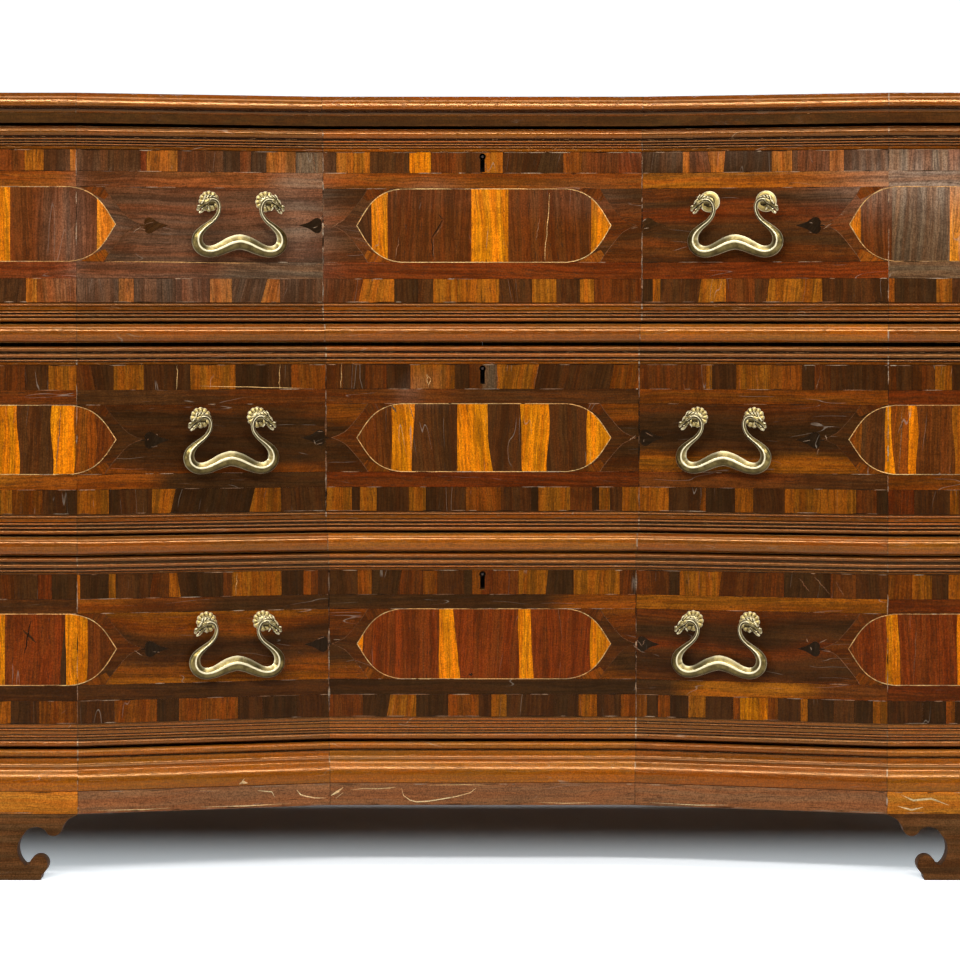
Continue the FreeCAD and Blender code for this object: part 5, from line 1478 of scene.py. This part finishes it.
def rosette(middle, plain):
    """A stamped disc about a place on the face: X along the face, Y into it, Z up."""
    points, faces = [], []
    for radius, stand in RINGS:
        for step in range(ROSETTE_STEPS):
            turn = 2 * math.pi * step / ROSETTE_STEPS
            lobe = abs(math.cos(LEAVES / 2 * turn))
            reach, out = radius, stand
            if not plain and radius > LEAF_ROOT:
                reach = radius * (1 - NOTCH + NOTCH * lobe ** 0.6)
                out = stand * (1 - HOLLOW + HOLLOW * lobe ** 0.7) + (CROWN * lobe if stand > 1 else 0)
            points.append(middle + Vector((reach * math.cos(turn), -out, reach * math.sin(turn))))
    for ring in range(len(RINGS)):
        here, there = ring * ROSETTE_STEPS, (ring + 1) % len(RINGS) * ROSETTE_STEPS
        for step in range(ROSETTE_STEPS):
            after = (step + 1) % ROSETTE_STEPS
            faces.append([here + step, here + after, there + after, there + step])
    return points, faces, [0.0] * len(points)


print("rosette", len(rosette(Vector(), False)[1]), "faces")

# %% [markdown]
# Old brass is told by where it is dark and where it is bright. Each point of a casting therefore carries two
# marks: how hollow or crested the surface is there, which is worked out from its edges, and how rubbed,
# highlit or shaded the bar is painted, which its section says. Part of that dark and bright is the metal's
# own soot and rubbing, part is painted shade and painted highlight.

# %% Castings
BRASS_CREASE = 38
EVENED = 0.3


def curvature(mesh):
    """Marks each point with how hollow (above 0) or how crested (below 0) the surface is there."""
    solid = bmesh.new()
    solid.from_mesh(mesh)
    solid.normal_update()
    solid.verts.index_update()
    bends, around = [], []
    for vert in solid.verts:
        ways = [(edge.other_vert(vert).co - vert.co) / MM for edge in vert.link_edges]
        bends.append(max((way.dot(vert.normal) / max(way.length_squared, 0.01) for way in ways), key=abs))
        around.append([edge.other_vert(vert).index for edge in vert.link_edges])
    solid.free()
    evened = [(1 - EVENED) * value + EVENED * sum(bends[index] for index in near) / len(near)
              for value, near in zip(bends, around)]
    mesh.attributes.new("curve", "FLOAT", "POINT").data.foreach_set("value", evened)


def metal_piece(name, shapes, finish, body, replaced):
    """One piece of metal from shapes: points in millimetres, faces, and how rubbed, highlit or shaded each point
    is painted.
    """
    mesh = bpy.data.meshes.new(name)
    points, faces, rubbed = [], [], []
    for more_points, more_faces, more_rub_highlight_and_shade in shapes:
        first = len(points)
        rubbed += more_rub_highlight_and_shade
        points += [tuple(part * MM for part in point) for point in more_points]
        faces += [[first + index for index in face] for face in more_faces]
    mesh.from_pydata(points, [], faces)
    mesh.attributes.new("rubbed", "FLOAT", "POINT").data.foreach_set("value", rubbed)
    outward(mesh)
    curvature(mesh)
    smoothed(mesh, BRASS_CREASE)
    return shown(name, mesh, finish, body, "brass", replaced)


# %% The brass finish
SPECKS, SOOT_AND_SHADE, UNDERSIDE_SHADE = colour("4a3c20"), colour("1c150a"), colour("2c220f")
RUB_AND_HIGHLIGHT = colour("f6e8bc")
METALLIC, METAL_LOST_TO_RUB_AND_HIGHLIGHT = 0.9, 0.55
BRASS_RELIEF = 0.05


def brass(name, light, dark, rough, underside_shade):
    """Old brass: dark in its hollows and underneath, bright along its crests; the dark is partly soot and partly
    painted shade, the bright partly rubbing and partly a painted highlight.
    """
    finish = Finish(name)
    place = finish.own_place()
    patina = finish.cloud(place, (0.14, 0.14, 0.14), 4, 0.6)
    speck = finish.cloud(place, (1.2, 1.2, 1.2), 3, 0.6)
    curve, rubbed = finish.attribute("curve", "Fac"), finish.attribute("rubbed", "Fac")
    facing = finish.node("SeparateXYZ", None, {0: finish.node("TexCoord", None, None, "Normal")}, "Z")
    metal = finish.blend(finish.ease(patina, 0.35, 0.7), light, dark)
    metal = finish.blend(finish.ease(speck, 0.5, 0.75) * 0.3, metal, SPECKS)
    # Painted dark along the underside and back of the bar, as its section says: partly soot, partly painted shade.
    metal = finish.blend(finish.ease(rubbed, -0.9, 0.0, 1, 0) * 0.85, metal, SOOT_AND_SHADE)
    # Painted shade: faces that turn downward are darkened.
    metal = finish.blend(finish.ease(facing, -0.75, 0.1, 1, 0) * underside_shade, metal, UNDERSIDE_SHADE)
    # Crests and the ridge are painted bright and less metallic: partly rubbed brass, partly a painted highlight.
    worn = finish.node("Math", {"operation": "MAXIMUM"},
                       {0: finish.ease(curve, -0.42, -0.2, 1, 0) * 0.8, 1: rubbed})
    metal = finish.blend(worn * 0.9, metal, RUB_AND_HIGHLIGHT)
    # Hollows are painted dark: partly patina and soot, partly painted shade.
    metal = finish.blend(finish.ease(curve, 0.02, 0.14) * 0.95, metal, SOOT_AND_SHADE)
    sockets = {"Base Color": metal, "Metallic": METALLIC - METAL_LOST_TO_RUB_AND_HIGHLIGHT * worn,
               "Roughness": rough + 0.14 * patina + 0.1 * speck}
    return finish.done(sockets, speck * 0.3 + patina, BRASS_RELIEF)


brass_metal = brass("brass", colour("8e7c49"), colour("584823"), 0.18, 0.85)
disc_metal = brass("brass_discs", colour("cdb673"), colour("a68d50"), 0.3, 0.2)
print("brass and discs", brass_metal.name, disc_metal.name)

# %% Bars, heads, stems and rosettes in place
STEM_FROM, STEM_TO, STEM_RADIUS = Vector((26.6, 0, 0)), Vector((34.6, 0, 0)), 1.9
STEM_STEPS = 20
POST_SPACING, STANDOFF = 30.4, 14


def stem_mesh():
    """The round pin that a bail turns on, at its right post."""
    turned = (STEM_TO - STEM_FROM).to_track_quat("Z", "Y").to_matrix()
    circle = [2 * math.pi * step / STEM_STEPS for step in range(STEM_STEPS)]
    points = [place + turned @ Vector((STEM_RADIUS * math.cos(turn), STEM_RADIUS * math.sin(turn), 0))
              for place in (STEM_FROM, STEM_TO) for turn in circle]
    faces = [[step, (step + 1) % STEM_STEPS, STEM_STEPS + (step + 1) % STEM_STEPS, STEM_STEPS + step]
             for step in range(STEM_STEPS)]
    faces += [list(range(STEM_STEPS)), list(range(STEM_STEPS, 2 * STEM_STEPS))]
    return points, faces, [0.0] * len(points)


def mirrored(shape):
    """The same shape at the left post."""
    points, *rest = shape
    return [Vector((-point[0], point[1], point[2])) for point in points], *rest


stem = stem_mesh()
for tier in TIERS:
    discs = []
    for side in ("left", "right"):
        joint = next(joint for joint in frame["joints"] if joint["name"] == f"{tier}_bail_{side}_hinge")
        pivot = Vector(joint["pos_m"]) / MM
        along = -Vector(joint["axis"])
        turned = Matrix((along, (-along.y, along.x, 0), (0, 0, 1))).transposed()
        placed = [([pivot + turned @ Vector(point) for point in points], *rest)
                  for points, *rest in (bar, head, mirrored(head), stem, mirrored(stem))]
        node = f"{tier}_bail_{side}"
        metal_piece(f"{tier}_{side}_swan_neck", placed, brass_metal, BODY[node], [node])
        for hand in (-1, 1):
            points, *rest = rosette(Vector((hand * POST_SPACING, STANDOFF, 0)),
                                    tier == "upper" and side == "right")
            discs.append(([pivot + turned @ point for point in points], *rest))
    metal_piece(tier + "_rosette_discs", discs, disc_metal, tier + "_drawer", [tier + "_rosettes"])

# %% [markdown]
# ## Finishes of the boards and the metal
# What lies behind the show veneer is plain: pine for the carcass, oak for the drawer linings, iron for the
# locks.

# %% Iron and plain woods
BARE_IRON, RUST = colour("33302e"), colour("4a2e1e")
RUST_RELIEF = 0.15


def iron():
    """Forged iron with rust in patches."""
    finish = Finish("lock_iron")
    place = finish.own_place()
    rust = finish.cloud(place, (0.15, 0.15, 0.15), 5, 0.65)
    metal = finish.blend(finish.ease(rust, 0.45, 0.65), BARE_IRON, RUST)
    sockets = {"Base Color": metal, "Metallic": finish.ease(rust, 0.4, 0.65, 1, 0.3),
               "Roughness": 0.55 + 0.3 * rust}
    return finish.done(sockets, rust, RUST_RELIEF)


lock_metal = iron()
UNPOLISHED = {"coat": 0.0, "gloss": 0.2, "figure": 0.55, "wear": 0.3, "pale": 1.2}
pine = {axis: wood("pine_" + axis, colour("9a6f3e"), axis, dull=0.55, **UNPOLISHED) for axis in "xz"}
oak = {axis: wood("oak_" + axis, colour("8a5f34"), axis, dull=0.5, **UNPOLISHED) for axis in "xy"}
show_walnut = {axis: wood("walnut_" + axis, colour("6e3a14"), axis) for axis in "xz"}
foot_wood = wood("foot_wood", colour("553820"), "x", coat=0.0, gloss=0.15, dull=0.5, figure=0.8, wear=1.0)
frieze_wood = wood("frieze_wood", colour("44290f"), "x", coat=0.3, figure=0.5)
under_veneer = wood("under_veneer", colour("1c0f07"), "x", coat=0.0, gloss=0.1, figure=0.4)
print("finishes so far", len(bpy.data.materials))

# %% [markdown]
# Sawn boards have eased edges: a knife-sharp corner never survives a plane and a century of hands. A board
# whose edges show is copied, its coplanar facets are joined, and its sharp edges get a small round.

# %% Boards with eased edges
FLAT_ANGLE, SHARP_ANGLE, BOARD_CREASE = 2, 35, 28
WELD, SKIM = 0.02, 0.5
TOP_LOWERED = 0.4
EASED = {"top": 0.1, "foot": 0.9, "drawer": 0.8, "side": 0.6}


def finish_for(name):
    """The finish of a CAD node, by its name."""
    if "bail" in name or name.endswith(("rosettes", "posts")):
        return brass_metal
    if "lock" in name:
        return lock_metal
    if "drawer_side" in name:
        return oak["y"]
    if "drawer_bo" in name or "drawer_ba" in name:
        return oak["x"]
    if name.endswith("marquetry"):
        return under_veneer
    if name.startswith("foot_") and name != "foot_blocks":
        return foot_wood
    if name.startswith("side"):
        return show_walnut["z"]
    if name == "frieze_rail":
        return frieze_wood
    if name == "top_board":
        return show_walnut["x"]
    return pine["z" if name == "back_boards" else "x"]


def eased(name, width, lowered=0.0):
    """A copy of a board with its sharp edges rounded, which stands for the board's node. A lowered board
    has its upper face planed down, to leave room for the veneer."""
    mesh = frame["nodes"][name].data.copy()
    solid = bmesh.new()
    solid.from_mesh(mesh)
    bmesh.ops.remove_doubles(solid, verts=solid.verts[:], dist=WELD * MM)
    if lowered:
        top = max(vert.co.z for vert in solid.verts)
        for vert in solid.verts:
            if vert.co.z > top - SKIM * MM:
                vert.co.z -= lowered * MM
    bmesh.ops.dissolve_limit(solid, angle_limit=math.radians(FLAT_ANGLE), verts=solid.verts[:],
                             edges=solid.edges[:])
    sharp = [edge for edge in solid.edges if len(edge.link_faces) == 2
             and edge.is_convex and edge.calc_face_angle() > math.radians(SHARP_ANGLE)]
    bmesh.ops.bevel(solid, geom=sharp, offset=width * MM, segments=2, profile=0.6, affect="EDGES",
                    clamp_overlap=True)
    solid.to_mesh(mesh)
    solid.free()
    smoothed(mesh, BOARD_CREASE)
    return shown(name + "_eased", mesh, finish_for(name), BODY[name], SLOT[name], [name])


eased("top_board", EASED["top"], TOP_LOWERED)
for name in frame["nodes"]:
    if name.startswith("foot_") and name != "foot_blocks":
        eased(name, EASED["foot"])
    elif "drawer_" in name and name != "drawer_stops":
        eased(name, EASED["drawer"])
    elif name in ("side_left", "side_right"):
        eased(name, EASED["side"])

# %% [markdown]
# The back is six rough pine planks that stand side by side. Their edges are eased, so a small groove
# marks each joint, and each has taken its own tone.

# %% The planks of the back
SHRUNK = 0.04
PLANK_EASE, PLANK_CUTS, LONG_EDGE = 0.9, 14, 300
PLANK_TONES = [colour(tone) for tone in ("8a6238", "7a5530", "946c42", "80592f", "8f6639", "75522e")]
plank_pine = wood("plank_pine", coat=0.0, gloss=0.15, dull=0.6, figure=0.6, wear=0.4, pale=1.2)


def plank(stock, left, right, low, high, tone, rng):
    """A board between two uprights, with eased edges; its grain runs up."""
    solid = bmesh.new()
    size = (right - left, high.y - low.y, high.z - low.z)
    middle = Vector(((left + right) / 2, (low.y + high.y) / 2, (low.z + high.z) / 2))
    bmesh.ops.create_cube(solid, size=1, matrix=Matrix.Translation(middle) @ Matrix.Diagonal((*size, 1)))
    bmesh.ops.subdivide_edges(solid, edges=[edge for edge in solid.edges if edge.calc_length() > LONG_EDGE],
                              cuts=PLANK_CUTS, use_grid_fill=True)
    sharp = [edge for edge in solid.edges if edge.calc_face_angle(0) > 1]
    bmesh.ops.bevel(solid, geom=sharp, offset=PLANK_EASE, segments=2, profile=0.6, affect="EDGES")
    start = rng.uniform(0, 400)
    points = [vert.co.copy() for vert in solid.verts]
    faces = [[vert.index for vert in face.verts] for face in solid.faces]
    solid.free()
    stock.add(points, faces, [tone] * len(points), [(point.z + start, point.x, point.y) for point in points],
              [0.0] * len(points))


stock = Stock()
rng = random.Random("planks")
low, high = (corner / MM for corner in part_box("back_boards"))
width = (high.x - low.x) / len(PLANK_TONES)
for number, tone in enumerate(PLANK_TONES):
    left = low.x + number * width
    plank(stock, left + SHRUNK / 2, left + width - SHRUNK / 2, low, high, tone, rng)
stock.piece("back_planks", plank_pine, "carcass", SLOT["back_boards"], ["back_boards"])

# %% Finishes of the nodes that stay as they are
for name, node in frame["nodes"].items():
    node.data.materials.clear()
    node.data.materials.append(finish_for(name))
print("finished", len(frame["nodes"]), "nodes")

# %% [markdown]
# ## The top and the sides
# The top repeats the language of the front: a border of crossbanding that follows the broken line, a pale
# string, and matched leaves of walnut with one long field in the middle. Each side is a framed panel.

# %% The border of the top
SURFACE, TOP_LIFT = TOP_HEAD - TOP_LOWERED, 1.4
BORDER, INSET = 30, 5
BORDER_BLOCK, BORDER_TONES = 27, "dmaomdak"
BORDER_WEAR = [0.2, 0.5, 1.0]
rng = random.Random("top")
border, panel = Stock(), Stock()


def on_top(across, deep, lift):
    """Carries a point of the top's drawing onto the top board."""
    return Vector((across, deep, SURFACE + lift * TOP_LIFT))


def ring_corners(inset):
    """The corners of the top in plan at a distance in from its moulding, starting at the left rear."""
    side, rear = SIDE - EDGING - inset, TOP_REAR - inset
    return [(-side, rear)] + front_corners(FOLDS["top"], -EDGING - inset) + [(side, rear)]


outer, inner = ring_corners(0.1), ring_corners(BORDER)
for number in range(len(outer)):
    after = (number + 1) % len(outer)
    sides = [Vector(outer[number]), Vector(outer[after]), Vector(inner[after]), Vector(inner[number])]
    way = sides[1] - sides[0]
    count = max(1, round(way.length / BORDER_BLOCK))
    grain_angle = math.degrees(math.atan2(way.y, way.x)) + 90
    for block in range(count):
        start, end = block / count, (block + 1) / count
        outline = [sides[0].lerp(sides[1], start), sides[0].lerp(sides[1], end),
                   sides[3].lerp(sides[2], end), sides[3].lerp(sides[2], start)]
        leaf(border, [tuple(corner) for corner in outline], on_top, varied(rng.choice(BORDER_TONES), rng),
             GROUND_LIFT, grain_angle, rng, worn=rng.choice(BORDER_WEAR))
border.piece("top_crossbands", veneer, "carcass", "walnut")

# %% The matched leaves inside the border
TOP_JOINTS = [-700, -440, -220, 0, 220, 440, 700]
TOP_SPAN, TOP_DRIFT = (-240, 300), 1.4
TOP_FIELD, TOP_FIELD_END = (-300, 300, -60, 120), 100
TOP_STRIPS = "y16 m60 y22 m70 d50 y26 m60 y30 m60 d40 y24 m70 y16"
CARCASS_WANDER, STRING_WIDTH = 3, 1.4
inner = ring_corners(BORDER + 0.3)


def between(outline, low, high):
    """The part of an outline whose first coordinate lies between two values."""
    for sign, limit in ((1, low), (-1, high)):
        kept = []
        for number, point in enumerate(outline):
            before = outline[number - 1]
            inside, was_inside = sign * (point[0] - limit) >= 0, sign * (before[0] - limit) >= 0
            if inside != was_inside:
                share = (limit - before[0]) / (point[0] - before[0])
                kept.append((limit, before[1] + (point[1] - before[1]) * share))
            if inside:
                kept.append(point)
        outline = kept
    return outline


for number, (low, high) in enumerate(zip(TOP_JOINTS, TOP_JOINTS[1:])):
    tone = layered("mdrm" if number % 2 else "mrdm", *TOP_SPAN, number * 9, TOP_DRIFT)
    leaf(panel, between(inner, low + GAP, high - GAP), on_top, tone, GROUND_LIFT, 90 + rng.uniform(-4, 4),
         rng, lines("y", -260, 300, 20))
blocks = read_blocks(TOP_STRIPS, *TOP_FIELD[:2], rng)
outline = field_outline(*TOP_FIELD, TOP_FIELD_END)
strips(panel, outline, blocks, on_top, *TOP_FIELD[2:], rng, CARCASS_WANDER)
ribbon(panel, outline, on_top, TONES["s"], STRING_WIDTH, rng, closed=True)
string = ring_corners(BORDER + INSET)
for start, end in zip(string, string[1:] + string[:1]):
    ribbon(panel, [start, end], on_top, TONES["s"], STRING_WIDTH, rng)
panel.piece("top_leaves", veneer, "carcass", "walnut")

# %% The framed panels of the sides
SIDE_FOOT, SIDE_HEAD = BASE_HEAD + 0.3, TOP_FOOT - 0.3
SIDE_FRONT, SIDE_REAR = FACE + SETBACK + 0.4, REAR - 0.4
CROSS, STRINGER = 26, 16
SIDE_DRIFT, SIDE_SEED = 1.5, 5
SIDE_INSET, SIDE_FIELD_HALF, SIDE_FIELD_END = 40, 80, 90
SIDE_STRIPS = "y14 m50 y18 d60 m40 y24 m60 d40 y18 m50 y14"


def framed_panel(stock, place, left, right, foot, head, rng):
    """A border of crossbanding, a stringer, a ground and a long field."""
    a, b, c, d = left + CROSS, right - CROSS, foot + CROSS, head - CROSS
    for low, high in ((foot, c), (d, head)):
        for tone, start, end, _ in read_blocks("~", left, right, rng):
            leaf(stock, rectangle(start, end, low, high), place, varied(tone, rng), GROUND_LIFT, 90, rng,
                 worn=rng.choice(BORDER_WEAR))
    for low, high in ((left, a), (b, right)):
        for tone, start, end, _ in read_blocks("~", c, d, rng):
            leaf(stock, rectangle(low, high, start, end), place, varied(tone, rng), GROUND_LIFT, 0, rng,
                 worn=rng.choice(BORDER_WEAR))
    for low, high in ((c, c + STRINGER), (d - STRINGER, d)):
        leaf(stock, rectangle(a, b, low, high), place, layered("om", low, high, 1), GROUND_LIFT, 0, rng,
             lines("x", a, b, 20))
    for low, high in ((a, a + STRINGER), (b - STRINGER, b)):
        leaf(stock, rectangle(low, high, c + STRINGER, d - STRINGER), place, varied("m", rng), GROUND_LIFT,
             90, rng)
    a, b, c, d = a + STRINGER, b - STRINGER, c + STRINGER, d - STRINGER
    for low, high in ((a, (a + b) / 2), ((a + b) / 2, b)):
        leaf(stock, rectangle(low, high, c, d), place, layered("mdrmdm", c, d, SIDE_SEED, SIDE_DRIFT),
             GROUND_LIFT, rng.uniform(-3, 3), rng, lines("x", low, high, 14) + lines("y", c, d, 8))
    field = (a + SIDE_INSET, b - SIDE_INSET, (c + d) / 2 - SIDE_FIELD_HALF, (c + d) / 2 + SIDE_FIELD_HALF)
    outline = field_outline(*field, SIDE_FIELD_END)
    strips(stock, outline, read_blocks(SIDE_STRIPS, *field[:2], rng), place, *field[2:], rng,
           CARCASS_WANDER)
    ribbon(stock, outline, place, TONES["s"], STRING_WIDTH, rng, closed=True)


for hand, name in ((-1, "left"), (1, "right")):
    stock = Stock()
    framed_panel(stock, lambda deep, up, lift: Vector((hand * (SIDE + lift), deep, up)),
                 SIDE_FRONT, SIDE_REAR, SIDE_FOOT, SIDE_HEAD, random.Random("side " + name))
    stock.piece(f"side_{name}_leaves", veneer, "carcass", "walnut")

# %% [markdown]
# ## The stage
# A pale floor, a pale backdrop and soft lamps above and beside the chest, as in a saleroom. Only the camera
# and polished things see the cloth as pale as it is: for all other light it is darker, so that it doesn't
# light the chest from below. The floor keeps the shadow. In the same way it glows a little, in a strip at the
# foot of the chest's front, which is painted light that lifts the chest's shadow there, and fully far behind
# the chest, where it meets the backdrop.

# %% Floor and backdrop
# Where a glow starts and where it is full, in millimetres from the chest's middle towards its back.
DEEP, CLEAR, BEHIND = (60, -330), (-750, -380), (600, 2600)
CAST = 0.4
GLOW_TINT = (0.86, 0.95, 1, 1)
STAGE_HALF, STAGE_FRONT, STAGE_BACK, STAGE_HIGH = 9, -7, 9, 8


def pale_cloth(name, shade, glow, lit=0.0, backed=0.0):
    """Cloth that the camera and polished things see lighter than it is."""
    finish = Finish(name)
    bare = finish.node("BsdfDiffuse", None, {"Color": (CAST, CAST, CAST * 1.04, 1)})
    pale = finish.node("BsdfDiffuse", None, {"Color": (shade, shade, shade * 1.01, 1)})
    place = finish.node("SeparateXYZ", None, {0: finish.own_place()}, "Y")
    # Painted light: the strip at the foot of the chest's front glows and lifts the chest's shadow on the floor.
    near = finish.ease(place, *DEEP) * finish.ease(place, *CLEAR)
    strength = glow + lit * near + finish.ease(place, *BEHIND, 0, backed)
    light = finish.node("Emission", None, {"Color": GLOW_TINT, "Strength": strength})
    camera, glossy, through = (finish.node("LightPath", None, None, ray) for ray in
                               ("Is Camera Ray", "Is Glossy Ray", "Is Transmission Ray"))
    seen = camera
    for ray in (glossy, through):
        seen = finish.node("Math", {"operation": "MAXIMUM"}, {0: seen, 1: ray})
    cloth = finish.node("MixShader", None, {0: seen, 1: bare, 2: pale})
    nothing = finish.node("BsdfTransparent", None, {"Color": (0, 0, 0, 1)})
    added = finish.node("MixShader", None, {0: seen, 1: nothing, 2: light})
    finish.closed(finish.node("AddShader", None, {0: cloth, 1: added}))
    return finish.material


def sheet_of(name, near, far, finish):
    """A flat part of the stage, from its near edge to its far one, each a (deep, up) place in metres."""
    corners = [(-STAGE_HALF, *near), (STAGE_HALF, *near), (STAGE_HALF, *far), (-STAGE_HALF, *far)]
    mesh = bpy.data.meshes.new(name)
    mesh.from_pydata(corners, [], [[0, 1, 2, 3]])
    mesh.materials.append(finish)
    piece = linked(name, mesh)
    print(name, "stands ready")


sheet_of("floor", (STAGE_FRONT, 0), (STAGE_BACK, 0),
         pale_cloth("floor_cloth", 0.97, 0.0, lit=0.6, backed=1.0))
sheet_of("backdrop", (STAGE_BACK, 0), (STAGE_BACK, STAGE_HIGH), pale_cloth("backdrop_paper", 0.9, 1.0))

# %% [markdown]
# The main lamp is long and low, level with the drawers' heads, so the upright faces stay deep and one clear
# highlight runs along each moulding. The others open up the shadows: one overhead, one to each side, and one
# behind for whoever walks round the chest.

# %% Lamps and room
# Each lamp: its place, what it aims at, its width and height in metres, and its power in watts.
LAMPS = {
    "key": ((-0.3, -3.0, 2.2), (0, -0.3, 0.45), 4.4, 0.24, 120),
    "overhead": ((0, -1.8, 3.6), (0, -0.9, 0), 3.2, 1.0, 66),
    "fill_left": ((-3.0, -3.2, 0.62), (0, 0, 0.2), 1.4, 0.5, 14),
    "fill_right": ((3.0, -3.2, 0.62), (0, 0, 0.2), 1.4, 0.5, 14),
    "rear": ((0.8, 2.4, 3.0), (0, 0.2, 0.5), 2.4, 1.2, 75),
}
ROOM = {"Color": (0.8, 0.82, 0.85, 1), "Strength": 0.11}

for name, (place, aim, width, height, power) in LAMPS.items():
    lamp = bpy.data.lights.new(name, "AREA")
    lamp.shape = "RECTANGLE"
    lamp.size, lamp.size_y = width, height
    lamp.energy = power
    holder = linked(name, lamp)
    holder.location = place
    holder.rotation_euler = (Vector(aim) - Vector(place)).to_track_quat("-Z", "Y").to_euler()

world = bpy.data.worlds.new("room")
bpy.context.scene.world = world
world.use_nodes = True
for key, value in ROOM.items():
    world.node_tree.nodes["Background"].inputs[key].default_value = value
print("lamps", list(LAMPS))

# %% The camera
IMAGE, FOCAL, SENSOR = 960, 3549, 36
SHIFT = (-0.0026, -0.088)
EYE, DIP = (0, -4.027, 0.592), 1.3

optics = bpy.data.cameras.new("camera")
optics.sensor_width = SENSOR
optics.lens = SENSOR * FOCAL / IMAGE
optics.shift_x, optics.shift_y = SHIFT
camera = linked("camera", optics)
camera.location = EYE
camera.rotation_euler = (math.radians(90 - DIP), 0, 0)
bpy.context.scene.camera = camera
bpy.context.scene.view_settings.view_transform = "Standard"
print("lens", round(optics.lens, 1), "mm, from", EYE)

# %% [markdown]
# ## The limit of the dressed chest
# The dressed chest must stay inside the box of the solids.
